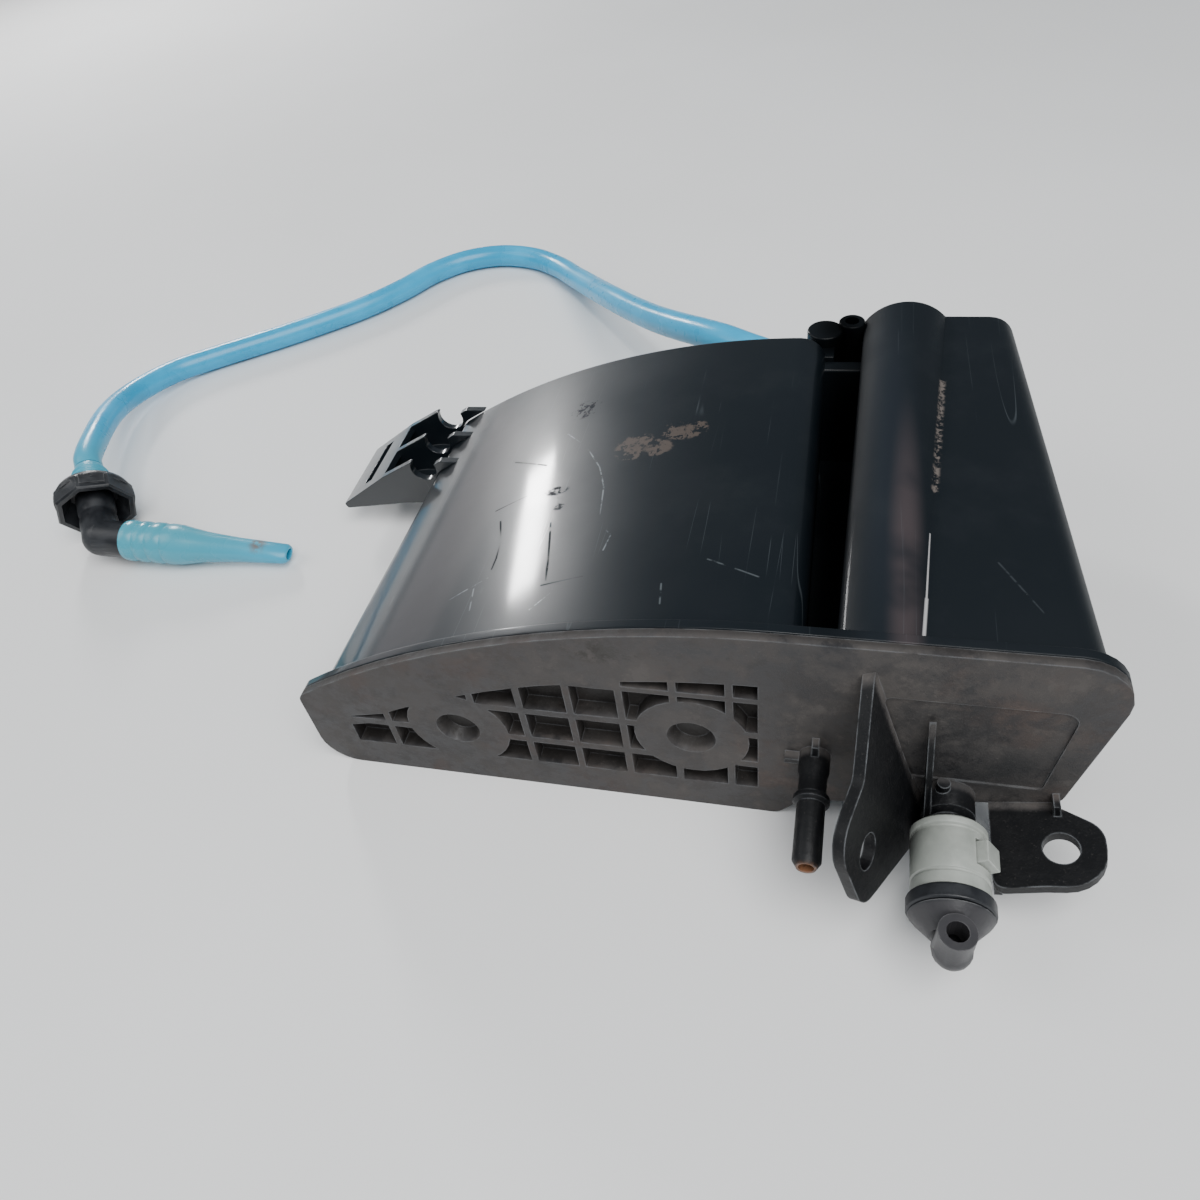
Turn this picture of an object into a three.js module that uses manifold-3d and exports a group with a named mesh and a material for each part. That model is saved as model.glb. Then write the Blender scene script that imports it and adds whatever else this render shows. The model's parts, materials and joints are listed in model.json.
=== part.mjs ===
// Fuel vapour canister: an active-carbon filter in a two-lobed plastic tub with a flat
// ribbed lid, lying on its flat side, with its blue vapour hose and end fitting.
// Millimetres, +Z up. X runs along the lid, Y from the lid into the tub.
import * as THREE from "three";
import { mergeVertices } from "three/addons/utils/BufferGeometryUtils.js";
import Module from "manifold-3d";

const wasm = await Module();
wasm.setup();

// ---------------------------------------------------------------- driving dimensions
const GAP = 0.3; // clearance kept between touching pieces
const OVERSHOOT = 1; // how far a cutting tool runs past the face it cuts

// lid and flange outline, seen from the front
const FLANGE_LEFT = -15.5;
const FLANGE_TOP = 82.5;
const CROWN_RADIUS = 278; // the long arc of the left half's top edge
const CROWN_X = 140; // where that arc runs out into the straight top
const FLANGE_RIGHT_TOP = 228.5;
const FLANGE_RIGHT_FOOT = 219;
const STEP_X = 141; // where the flat bottom edge ends
const STEP_WIDTH = 7;
const STEP_HEIGHT = 8.5;
const SLOPE_FOOT_HEIGHT = 23.8; // height of the sloping bottom edge at its right end
const LEFT_CORNER = 12;
const CREST_CORNER = 5;
const RIGHT_CORNER = 14;
const SMALL_CORNER = 4;

const LID_RIM = 3; // thickness of the lid's edge
const LID_DEPTH = 8.5; // depth of the lid with its plugs
const FLANGE_DEPTH = 3.2;
const FLANGE_OVERHANG = 4; // how far the flange stands out past the tub's wall
const WALL = 2.5;
const PLUG_CLEARANCE = 0.6;

// tub
const MAIN_DEPTH = 155; // lid face to the far end of the main chamber
const VENT_DEPTH = 172;
const MAIN_RIGHT = 146.5; // right wall of the main chamber, at the mouth
const VENT_LEFT = 154.5;
const DRAFT_INSET = 2.6; // how much smaller an outline is at the far end
const RIGHT_LEAN = 10; // extra inward lean of the right wall at the far end
const LOBE_CORNER = 9;
const LOBE_BASE_CORNER = 6;
const VENT_TOP = 77.5;
const BULGE_X = 165; // round bulge along the top of the vent chamber, at the mouth
const BULGE_DRIFT = 7.4; // how far its crest runs to the right by the far end
const BULGE_RADIUS = 18;
const BULGE_RISE = 3.5;
const BULGE_STEPS = 6;
const BULGE_FOOT_CORNER = 3;
const GROOVE_FLOOR = 26; // top of the web between the two chambers
const GROOVE_END_TOP = 68; // top of the wall that closes the groove's far end
const GROOVE_END_WALL = 6;
const FOOT_HEIGHT = 7;
const FOOT_LENGTH = 4;

// lid details
const COLUMN_PITCH = 16;
const COLUMN_COUNT = 9;
const POCKET_WIDTH = 13.7;
const LAST_POCKET_WIDTH = 6.8;
const POCKET_DEPTH = 5.6;
const POCKET_BORDER = 19.2; // border between the crown and the pockets
const LEAST_POCKET = 3;
const POCKET_ROWS = [
  [13.2, 24],
  [26.8, 38.9],
  [41.6, 55.3],
  [57.4, 63.4],
];
const BOSSES = [
  [39.1, 26.9],
  [115.2, 35.9],
];
const BOSS_RADIUS = 17.2;
const DIMPLE_RADIUS = 7.4;
const DIMPLE_DEPTH = 4.5;
const PANEL_LEFT = 168;
const PANEL_RIGHT = 216;
const PANEL_TOP = 64;
const PANEL_BOTTOM = 29;
const PANEL_RECESS = 0.6;

// tank port, on the lid
const TANK_PORT = [151.2, 34];
const TANK_PORT_LENGTH = 36;
const TANK_PORT_RADIUS = 3.95;
const TANK_PORT_BORE = 2.2;
const TANK_BEAD_RADIUS = 5.1;
const TANK_BEAD_AT = 14;
const TANK_BEAD_WIDTH = 2.2;

// canister port with its quick connector, on the lid
const VENT_PORT = [189.2, 21.6];
const VENT_STEM_RADIUS = 5;
const VENT_STEM_BORE = VENT_STEM_RADIUS - 1.8;
const VENT_STEM_LENGTH = 31.4;
const VENT_BASE_RADIUS = VENT_STEM_RADIUS + 2.4;
const VENT_BASE_LENGTH = 8;
const VENT_STEM_BEAD_RADIUS = VENT_STEM_RADIUS + 1;
const VENT_STEM_BEAD_AT = 16;
const CONNECTOR_BACK = 12.5;
const CONNECTOR_LENGTH = 20.5;
const CONNECTOR_BORE = VENT_STEM_RADIUS + 1.6; // leaves room for the seal rings
const CONNECTOR_RADIUS = CONNECTOR_BORE + 3.85;
const BUTTON_ANGLE = 35; // the release button's direction, in degrees above +X
const BUTTON_WIDTH = 7;
const BUTTON_LENGTH = 6.5;
const BUTTON_RISE = 2.2;
const BUTTON_TRAVEL = 1.5;
const COLLAR_RADIUS = CONNECTOR_RADIUS + 1.15;
const COLLAR_LENGTH = 4.5;
const ELBOW_RADIUS = 4.95;
const ELBOW_BORE = 2.8;
const ELBOW_AT = 46.5; // distance of the elbow's upright leg from the lid
const ELBOW_RISE = 10.5; // height of the elbow's mouth over the port's axis
const RING_PLACES = [28.4, 30.4]; // distances of the two seal rings from the lid

// ears on the lid
const EAR_THICKNESS = 3.4;
const EAR_HOLE_RADIUS = 5;
const LOWER_EAR_LEFT = VENT_PORT[0] + CONNECTOR_RADIUS + 0.35; // just clears the connector
const LOWER_EAR_HOLE = [217.8, -14.4];
const LOWER_EAR_HOLE_RADIUS = 4.7;
const LOWER_EAR_END_RADIUS = 11.2;
const LOWER_EAR_REACH = 27;

// inside
const PAD = 5; // thickness of a fleece pad
const PLATE = 3;
const BED_CLEARANCE = 0.8;
const MAIN_SPRING_ROOM = 22; // from the lid to the main pressure plate
const VENT_SPRING_ROOM = 24;
const VENT_SPRING_AXIS = [186, 50];
const SPRING_RADIUS = 7.5;
const SPRING_WIRE = 1.5;
const SPRING_TURNS = 4;

// side bracket, a comb that holds passing pipes
const COMB_FRONT = 118.5;
const COMB_PITCH = 17.5;
const COMB_RIBS = 3;
const COMB_RIB = 3;
const COMB_TIP = [-56, 11.5];
const COMB_RIDGE = [-34, 29];
const COMB_FLOOR = 18;
const COMB_NOTCH = [-13.8, 34.5];
const COMB_NOTCH_RADIUS = 5.6;
const COMB_PEAK = 37.2;
const COMB_SLOT_WIDTH = 4.8;
const COMB_SLOT_LENGTH = 27;
const COMB_ROOT_X = 4; // inside the tub's outline, which trims the comb

// hose and its end fitting
const HOSE_RADIUS = 6;
const HOSE_SIDES = 10;
const HOSE_STEPS = 34;
const PORT_TOWER = [143, MAIN_DEPTH + 8.5];
const PORT_TOWER_RADIUS = 6.6;
const PORT_TOWER_TOP = 73.5;
const PORT_TOWER_FOOT = 48;
const SPIGOT_START = [...PORT_TOWER, 56];
const SPIGOT_DIRECTION = [-0.94, 0.342, 0];
const SPIGOT_RADIUS = 4.4;
const SPIGOT_LENGTH = 10;
const FRESH_AIR_TOWER = [152.5, MAIN_DEPTH + 12];
const FRESH_AIR_RADIUS = 4.8;
const FRESH_AIR_BORE = 2.6;
const HOSE_OFF_SPIGOT = 1;
const HOSE_REST = 6.4; // height of the hose's centre line where it lies on the surface
const HOSE_ROUTE = [
  [132.7, 167.3, 56],
  [124, 170.6, 56.6],
  [113.5, 176.2, 56.8],
  [102, 184.4, 56],
  [90.5, 194.4, 53],
  [79, 206.2, 48.6],
  [66, 221.4, 43],
  [51, 241, 36.5],
  [36, 262, 30],
  [18.5, 290, 20.4],
  [1, 317, 11.8],
  [-16, 338, 7.5],
  [-33.5, 350, HOSE_REST],
  [-55, 354, HOSE_REST],
  [-76, 348, HOSE_REST],
  [-92.5, 333.5, HOSE_REST],
  [-105, 314, HOSE_REST],
  [-120, 295.5, HOSE_REST],
  [-139, 278.5, HOSE_REST],
  [-160, 262, HOSE_REST],
  [-179, 248.5, HOSE_REST],
  [-195, 236.5, 6.6],
  [-206.5, 225, 7.4],
  [-213.8, 209.5, 9],
  [-215.5, 192.5, 11.8],
  [-211.5, 176, 15.8],
  [-205.5, 162, 19.4],
  [-198, 146.5, 22.6],
];
const END_CORNER = [-162, 87.5, 13]; // where the end elbow's two axes meet
const END_AXIS = [0.55, -0.8, -0.24]; // from the hose towards the elbow
const TAIL_TIP = [-75, 93, 5.2];
const CAP_MOUTH = 16; // distances back from the elbow's corner
const CAP_BACK = 30;
const SLEEVE_BACK = 42;
const CAP_RADIUS = 17.2;
const CAP_CUP_RADIUS = 13.6;
const CAP_CUP_DEPTH = 10;
const CAP_BORE = 6.2;
const CAP_SIDES = 8;
const CAP_TOP = [0.4, 0, 0.91]; // the cap's raised tab and one of its flats face this way
const CAP_TAB_WIDTH = 10;
const SLEEVE_RADIUS = 8;
const SLEEVE_FLARE = 3; // length over which the sleeve widens from the hose
const SLEEVE_RIDGES = 4;
const END_STEM_RADIUS = 7.9;
const TAIL_START = 13; // distance of the tail from the elbow's corner
const TAIL_RADIUS = 9.2;
const TAIL_TIP_RADIUS = 4.6;
const TAIL_RIBS = [4, 10, 17]; // where the three undulations of the tail dip
const TAIL_RIB_DEPTH = 0.8;
const TAIL_SHOULDER = 26; // where the tail starts to narrow
const TAIL_SQUEEZE = 0.28; // how much the tip is pressed flat
const TAIL_SQUEEZE_LENGTH = 22;
const TAIL_BORE = 2.6;

// ---------------------------------------------------------------- solids and outlines
const radians = THREE.MathUtils.degToRad;

function solidOf(geometry) {
  const bare = new THREE.BufferGeometry();
  bare.setAttribute("position", geometry.getAttribute("position").clone());
  if (geometry.index) bare.setIndex(geometry.index.clone());
  const merged = mergeVertices(bare, 1e-4);
  return new wasm.Manifold(
    new wasm.Mesh({
      numProp: 3,
      vertProperties: new Float32Array(merged.attributes.position.array),
      triVerts: new Uint32Array(merged.index.array),
    }),
  );
}

function geometryOf(solid) {
  const mesh = solid.getMesh();
  const stride = mesh.numProp;
  const positions = new Float32Array(mesh.numVert * 3);
  for (let i = 0; i < mesh.numVert; i++) {
    positions.set(mesh.vertProperties.subarray(i * stride, i * stride + 3), i * 3);
  }
  const geometry = new THREE.BufferGeometry();
  geometry.setAttribute("position", new THREE.BufferAttribute(positions, 3));
  geometry.setIndex(new THREE.BufferAttribute(mesh.triVerts, 1));
  return geometry;
}

function join(...geometries) {
  return geometryOf(geometries.map(solidOf).reduce((whole, piece) => whole.add(piece)));
}

function cut(geometry, ...tools) {
  return geometryOf(tools.map(solidOf).reduce((whole, tool) => whole.subtract(tool), solidOf(geometry)));
}

function common(a, b) {
  return geometryOf(solidOf(a).intersect(solidOf(b)));
}

function at(geometry, x, y, z) {
  return geometry.translate(x, y, z);
}

function box(x0, x1, y0, y1, z0, z1) {
  const geometry = new THREE.BoxGeometry(x1 - x0, y1 - y0, z1 - z0);
  return at(geometry, (x0 + x1) / 2, (y0 + y1) / 2, (z0 + z1) / 2);
}

// A closed outline with rounded corners: each corner is [x, z, radius].
function roundedOutline(corners, steps = 6) {
  const points = [];
  corners.forEach(([x, z, radius], i) => {
    const here = new THREE.Vector2(x, z);
    const [beforeX, beforeZ] = corners[(i + corners.length - 1) % corners.length];
    const [afterX, afterZ] = corners[(i + 1) % corners.length];
    const back = new THREE.Vector2(beforeX, beforeZ).sub(here).normalize();
    const on = new THREE.Vector2(afterX, afterZ).sub(here).normalize();
    if (!radius) {
      points.push(here);
      return;
    }
    const half = Math.acos(THREE.MathUtils.clamp(back.dot(on), -1, 1)) / 2;
    const reach = radius / Math.tan(half);
    const centre = back.clone().add(on).normalize().multiplyScalar(radius / Math.sin(half)).add(here);
    const start = here.clone().addScaledVector(back, reach).sub(centre);
    const end = here.clone().addScaledVector(on, reach).sub(centre);
    const turn = Math.atan2(start.cross(end), start.dot(end));
    for (let s = 0; s <= steps; s++) {
      points.push(start.clone().rotateAround(new THREE.Vector2(), (turn * s) / steps).add(centre));
    }
  });
  return points;
}

// An outline in X and Z, extruded along Y from one depth to another.
function prismY(outline, from, to) {
  const shape = new THREE.Shape(outline);
  const geometry = new THREE.ExtrudeGeometry(shape, { depth: to - from, bevelEnabled: false });
  return at(geometry.rotateX(Math.PI / 2), 0, to, 0);
}

// An outline in X and Y, extruded along Z.
function prismZ(outline, from, to) {
  const shape = new THREE.Shape(outline);
  return at(new THREE.ExtrudeGeometry(shape, { depth: to - from, bevelEnabled: false }), 0, 0, from);
}

// A solid between two outlines of equal point count, in planes across Y.
function loftY(near, nearY, far, farY) {
  const count = near.length;
  const positions = [];
  near.forEach((point) => positions.push(point.x, nearY, point.y));
  far.forEach((point) => positions.push(point.x, farY, point.y));
  const indices = [];
  for (let i = 0; i < count; i++) {
    const next = (i + 1) % count;
    indices.push(i, i + count, next, next, i + count, next + count);
  }
  THREE.ShapeUtils.triangulateShape(near, []).forEach(([a, b, c]) => indices.push(a, b, c));
  THREE.ShapeUtils.triangulateShape(far, []).forEach(([a, b, c]) => {
    indices.push(a + count, c + count, b + count);
  });
  const geometry = new THREE.BufferGeometry();
  geometry.setAttribute("position", new THREE.Float32BufferAttribute(positions, 3));
  geometry.setIndex(indices);
  const solid = solidOf(geometry);
  if (solid.volume() > 0) return geometry;
  geometry.setIndex(indices.reverse());
  return geometry;
}

// A round piece on the Y axis: each profile point is [radius, y]. With few sides it is a
// prism, and half a step of turn puts one of its flats up.
function turnedY(profile, sides = 24, turn = 0) {
  const points = profile.map(([radius, y]) => new THREE.Vector2(radius, y));
  if (points[0].y > points[points.length - 1].y) points.reverse();
  return new THREE.LatheGeometry(points, sides, turn);
}

// A plain cylinder whose axis runs along Y.
function rodY(radius, from, to, sides = 24) {
  return turnedY([[0, from], [radius, from], [radius, to], [0, to]], sides);
}

// A plain upright cylinder.
function rodZ(radius, from, to, sides = 24) {
  return rodY(radius, from, to, sides).rotateX(Math.PI / 2);
}

// Turns a piece that lies along +Y so that it starts at a point and lies along a direction.
function aim(geometry, start, direction) {
  const turn = new THREE.Quaternion().setFromUnitVectors(
    new THREE.Vector3(0, 1, 0),
    direction.clone().normalize(),
  );
  return at(geometry.applyQuaternion(turn), start.x, start.y, start.z);
}

// The same, with the piece's +Z kept as near as it can be to a given direction.
function aimUpright(geometry, start, direction, up) {
  const along = direction.clone().normalize();
  const top = up.clone().projectOnPlane(along).normalize();
  const across = new THREE.Vector3().crossVectors(along, top);
  const frame = new THREE.Matrix4().makeBasis(across, along, top).setPosition(start);
  return geometry.applyMatrix4(frame);
}

// ---------------------------------------------------------------- canister outlines
// The crown is one arc, tangent to the straight top at CROWN_X.
function crownHeight(x, inset = 0) {
  const radius = CROWN_RADIUS - inset;
  const centre = FLANGE_TOP - CROWN_RADIUS;
  const run = Math.min(0, x - CROWN_X);
  return centre + Math.sqrt(radius * radius - run * run);
}

function crownPoints(fromX, toX, inset, steps) {
  const points = [];
  for (let s = 0; s <= steps; s++) {
    const x = THREE.MathUtils.lerp(fromX, toX, s / steps);
    points.push([x, crownHeight(x, inset), 0]);
  }
  return points;
}

function flangeOutline(inset = 0) {
  const left = FLANGE_LEFT + inset;
  const crown = crownPoints(CROWN_X, left, inset, 14);
  crown[crown.length - 1][2] = CREST_CORNER;
  return roundedOutline([
    [left, inset, LEFT_CORNER - inset],
    [STEP_X - inset * 0.4, inset, SMALL_CORNER],
    [STEP_X + STEP_WIDTH - inset * 0.4, STEP_HEIGHT + inset, SMALL_CORNER],
    [FLANGE_RIGHT_FOOT - inset, SLOPE_FOOT_HEIGHT + inset, SMALL_CORNER],
    [FLANGE_RIGHT_TOP - inset, FLANGE_TOP - inset, RIGHT_CORNER - inset],
    ...crown,
  ]);
}

// The main chamber under the crown. Share runs from 0 at the mouth to 1 at the far end.
function mainOutline(inset, share) {
  const shrink = inset + DRAFT_INSET * share;
  const left = FLANGE_LEFT + FLANGE_OVERHANG + shrink;
  const right = MAIN_RIGHT - shrink;
  const crown = crownPoints(right, left, FLANGE_OVERHANG + shrink, 14);
  crown[0][2] = LOBE_CORNER;
  crown[crown.length - 1][2] = LOBE_CORNER;
  crown.splice(1, 1);
  crown.splice(crown.length - 2, 1);
  return roundedOutline([
    [left, FLANGE_OVERHANG + shrink, LOBE_BASE_CORNER],
    [right, FLANGE_OVERHANG + shrink, SMALL_CORNER],
    ...crown,
  ]);
}

// The vent chamber's sloping base and leaning right wall, up to its flat top.
function ventCorners(inset, share) {
  const shrink = inset + DRAFT_INSET * share;
  const right = FLANGE_OVERHANG + shrink + RIGHT_LEAN * share;
  return [
    [VENT_LEFT + shrink, STEP_HEIGHT + FLANGE_OVERHANG + shrink + 1, SMALL_CORNER],
    [FLANGE_RIGHT_FOOT - right, SLOPE_FOOT_HEIGHT + FLANGE_OVERHANG + shrink, LOBE_BASE_CORNER],
    [FLANGE_RIGHT_TOP - right, VENT_TOP - shrink, LOBE_CORNER],
  ];
}

function ventOutline(inset, share) {
  const shrink = inset + DRAFT_INSET * share;
  return roundedOutline([
    ...ventCorners(inset, share),
    [VENT_LEFT + shrink, VENT_TOP - shrink, SMALL_CORNER],
  ]);
}

// The same chamber with the bulge: an arc from the flat top down to the left wall.
// The flat top is drafted and the bulge isn't, so the bulge widens towards the far end.
function bulgedOutline(inset, share) {
  const shrink = inset + DRAFT_INSET * share;
  const radius = BULGE_RADIUS - inset;
  const centreX = BULGE_X + BULGE_DRIFT * share;
  const centreZ = VENT_TOP + BULGE_RISE - BULGE_RADIUS;
  const seam = Math.asin((VENT_TOP - shrink - centreZ) / radius);
  const wall = Math.acos((VENT_LEFT + shrink - centreX) / radius);
  const arc = [];
  for (let s = 0; s <= BULGE_STEPS; s++) {
    const angle = THREE.MathUtils.lerp(seam, wall, s / BULGE_STEPS);
    const x = centreX + radius * Math.cos(angle);
    const z = centreZ + radius * Math.sin(angle);
    arc.push([x, z, s === BULGE_STEPS ? BULGE_FOOT_CORNER : 0]);
  }
  return roundedOutline([...ventCorners(inset, share), ...arc]);
}

function chamber(outline, inset, from, to, depth) {
  const shareAt = (y) => (y - LID_RIM) / depth;
  return loftY(outline(inset, shareAt(from)), from, outline(inset, shareAt(to)), to);
}

const mainChamber = (inset, from, to) => chamber(mainOutline, inset, from, to, MAIN_DEPTH);
const ventBody = (inset, from, to) => chamber(ventOutline, inset, from, to, VENT_DEPTH);
const ventChamber = (inset, from, to) => chamber(bulgedOutline, inset, from, to, VENT_DEPTH);

// ---------------------------------------------------------------- housing
const MOUTH = LID_RIM + GAP; // front face of the tub's flange

function housing() {
  const grooveLeft = MAIN_RIGHT - 6;
  const grooveRight = VENT_LEFT + 4;
  const grooveEnd = MAIN_DEPTH - 4;
  const grooveFoot = STEP_HEIGHT + FLANGE_OVERHANG + DRAFT_INSET;
  const web = box(grooveLeft, grooveRight, MOUTH, grooveEnd - 1, grooveFoot, GROOVE_FLOOR);
  const wallFrom = grooveEnd - GROOVE_END_WALL;
  const grooveWall = box(grooveLeft, grooveRight, wallFrom, grooveEnd, grooveFoot, GROOVE_END_TOP);
  const foot = box(
    FLANGE_LEFT + 3 * LEFT_CORNER,
    MAIN_RIGHT - LOBE_CORNER,
    MAIN_DEPTH - 2 * FOOT_LENGTH,
    MAIN_DEPTH - FOOT_LENGTH,
    0,
    FOOT_HEIGHT,
  );
  const [towerX, towerY] = PORT_TOWER;
  const tower = rodZ(PORT_TOWER_RADIUS, PORT_TOWER_FOOT, PORT_TOWER_TOP);
  at(tower, towerX, towerY, 0);
  const bridgeTop = PORT_TOWER_TOP - 4;
  const bridge = box(towerX - 4, towerX + 4, MAIN_DEPTH - 4, towerY, PORT_TOWER_FOOT, bridgeTop);
  const [airX, airY] = FRESH_AIR_TOWER;
  const airTower = at(rodZ(FRESH_AIR_RADIUS, PORT_TOWER_FOOT, PORT_TOWER_TOP + 1.5), airX, airY, 0);
  const airBridge = box(towerX, airX + 8, airY - 3, airY + 3, PORT_TOWER_FOOT, PORT_TOWER_TOP - 6);
  const spigotAlong = new THREE.Vector3(...SPIGOT_DIRECTION);
  const spigotStart = new THREE.Vector3(...SPIGOT_START);
  const spigot = aim(rodY(SPIGOT_RADIUS, 0, SPIGOT_LENGTH), spigotStart, spigotAlong);
  const bore = aim(rodY(SPIGOT_RADIUS - 1.6, 4, SPIGOT_LENGTH + OVERSHOOT), spigotStart, spigotAlong);
  const shell = join(
    prismY(flangeOutline(), MOUTH, MOUTH + FLANGE_DEPTH),
    mainChamber(0, MOUTH, MAIN_DEPTH),
    ventChamber(0, MOUTH, VENT_DEPTH),
    web,
    grooveWall,
    foot,
    tower,
    bridge,
    airTower,
    airBridge,
    spigot,
  );
  const airBore = at(rodZ(FRESH_AIR_BORE, PORT_TOWER_FOOT + 6, PORT_TOWER_TOP + 3, 16), airX, airY, 0);
  return cut(
    shell,
    mainChamber(WALL, MOUTH - OVERSHOOT, MAIN_DEPTH - WALL),
    ventChamber(WALL, MOUTH - OVERSHOOT, VENT_DEPTH - WALL),
    bore,
    airBore,
  );
}

// ---------------------------------------------------------------- lid
function lidPockets() {
  const tools = [];
  for (const [bottom, top] of POCKET_ROWS) {
    for (let column = 0; column < COLUMN_COUNT; column++) {
      const left = column * COLUMN_PITCH;
      const right = left + (column === COLUMN_COUNT - 1 ? LAST_POCKET_WIDTH : POCKET_WIDTH);
      if (crownHeight(right, POCKET_BORDER) - bottom < LEAST_POCKET) continue;
      const points = [new THREE.Vector2(left, bottom), new THREE.Vector2(right, bottom)];
      for (const x of [right, (left + right) / 2, left]) {
        const limit = Math.min(top, crownHeight(x, POCKET_BORDER));
        if (limit - bottom > 0.5) points.push(new THREE.Vector2(x, limit));
      }
      tools.push(prismY(points, -OVERSHOOT, POCKET_DEPTH));
    }
  }
  const bosses = BOSSES.map(([x, z]) => at(rodY(BOSS_RADIUS, -2 * OVERSHOOT, LID_DEPTH, 32), x, 0, z));
  return cut(join(...tools), ...bosses);
}

// A plate with its root on the lid, in a plane given by its run along the lid and its reach.
function platePlaced(outline, origin, along, outward, thickness) {
  const shape = new THREE.Shape(outline);
  const geometry = new THREE.ExtrudeGeometry(shape, { depth: thickness, bevelEnabled: false });
  at(geometry, 0, 0, -thickness / 2);
  const normal = new THREE.Vector3().crossVectors(along, outward);
  const frame = new THREE.Matrix4().makeBasis(along, outward, normal);
  frame.setPosition(...origin);
  return geometry.applyMatrix4(frame);
}

// The leaning ear: along its root it falls to the right, and it leans out to the left.
function upperEar() {
  const root = [163.4, 0, 73.2];
  const along = new THREE.Vector3(0.299, 0, -0.954).normalize();
  const lean = new THREE.Vector3(-0.3, -0.95, -0.094);
  const outward = lean.addScaledVector(along, -lean.dot(along)).normalize();
  const plate = roundedOutline([
    [-1, -2.2, 0],
    [0, 1, 0],
    [18.5, 21, 6],
    [20.5, 40.5, 10],
    [47.5, 42, 9],
    [66, 9, 4],
    [69, -2.2, 0],
  ]);
  const hole = roundedOutline([
    [31.8, 25.7, EAR_HOLE_RADIUS - 0.01],
    [41.8, 25.7, EAR_HOLE_RADIUS - 0.01],
    [41.8, 35.7, EAR_HOLE_RADIUS - 0.01],
    [31.8, 35.7, EAR_HOLE_RADIUS - 0.01],
  ]);
  const ear = platePlaced(plate, root, along, outward, EAR_THICKNESS);
  const drill = platePlaced(hole, root, along, outward, 3 * EAR_THICKNESS);
  return cut(ear, drill);
}

// The web that braces the leaning ear, standing square on the lid.
function earBrace() {
  const root = [180.6, 0, 61];
  const along = new THREE.Vector3(0.07, 0, -1).normalize();
  const outward = new THREE.Vector3(0, -1, 0);
  const plate = [
    [0, -2.4],
    [0, 0],
    [38, 9],
    [52, 9],
    [52, -2.4],
  ].map(([u, v]) => new THREE.Vector2(u, v));
  return platePlaced(plate, root, along, outward, 1.8);
}

// The lower ear lies along the lid's sloping bottom edge.
function lowerEar() {
  const rise = SLOPE_FOOT_HEIGHT - STEP_HEIGHT;
  const run = FLANGE_RIGHT_FOOT - STEP_X - STEP_WIDTH;
  const slope = Math.atan2(rise, run);
  const [holeX, holeY] = LOWER_EAR_HOLE;
  const end = LOWER_EAR_END_RADIUS;
  const outline = roundedOutline([
    [LOWER_EAR_LEFT, 2.5, 0],
    [LOWER_EAR_LEFT, -LOWER_EAR_REACH, 3],
    [holeX - 4, -LOWER_EAR_REACH + 1.2, 8],
    [holeX + end, holeY - end, end],
    [holeX + end, holeY + 6.5, 7],
    [FLANGE_RIGHT_FOOT - 1, -1.5, 2],
    [FLANGE_RIGHT_FOOT - 3, 2.5, 0],
  ]);
  const plate = prismZ(outline, -EAR_THICKNESS, 0);
  const left = LOWER_EAR_LEFT;
  const edge = box(left, left + 2.2, 2 - LOWER_EAR_REACH, 2.5, -EAR_THICKNESS - 4, -1);
  const gusset = box(holeX - 0.9, holeX + 0.9, -4.5, 1, -1, 4.5);
  const hole = at(rodZ(LOWER_EAR_HOLE_RADIUS, -10, 5, 28), holeX, holeY, 0);
  const ear = cut(join(plate, edge, gusset), hole);
  const pivotX = FLANGE_RIGHT_FOOT;
  at(ear, -pivotX, 0, 0);
  ear.rotateY(-slope);
  return at(ear, pivotX, 0, SLOPE_FOOT_HEIGHT + 0.3);
}

function tankPort() {
  const [x, z] = TANK_PORT;
  const bead = TANK_BEAD_AT;
  const tube = turnedY([
    [0, 1],
    [TANK_PORT_RADIUS + 0.5, 1],
    [TANK_PORT_RADIUS + 0.5, -6],
    [TANK_PORT_RADIUS, -8],
    [TANK_PORT_RADIUS, -bead],
    [TANK_BEAD_RADIUS, -bead - 0.6],
    [TANK_BEAD_RADIUS, -bead - TANK_BEAD_WIDTH],
    [TANK_PORT_RADIUS, -bead - TANK_BEAD_WIDTH - 0.8],
    [TANK_PORT_RADIUS, -TANK_PORT_LENGTH + 2],
    [TANK_PORT_RADIUS - 1.2, -TANK_PORT_LENGTH],
    [0, -TANK_PORT_LENGTH],
  ]);
  const fins = [
    box(-8.5, 0, -3, 1, -1, 1),
    box(-1, 1, -3.5, 1, 0, 8.5),
  ];
  return at(join(tube, ...fins), x, 0, z);
}

function canisterPort() {
  const [x, z] = VENT_PORT;
  const bead = VENT_STEM_BEAD_AT;
  const stem = turnedY([
    [0, 1],
    [VENT_BASE_RADIUS, 1],
    [VENT_BASE_RADIUS, -VENT_BASE_LENGTH],
    [VENT_STEM_RADIUS, -VENT_BASE_LENGTH - 1],
    [VENT_STEM_RADIUS, -bead],
    [VENT_STEM_BEAD_RADIUS, -bead - 0.7],
    [VENT_STEM_BEAD_RADIUS, -bead - 1.8],
    [VENT_STEM_RADIUS, -bead - 2.5],
    [VENT_STEM_RADIUS, -VENT_STEM_LENGTH],
    [0, -VENT_STEM_LENGTH],
  ]);
  const nub = at(rodZ(1.9, 0, 9.6, 12), -2.2, -2.6, 0);
  return at(join(stem, nub), x, 0, z);
}

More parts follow.
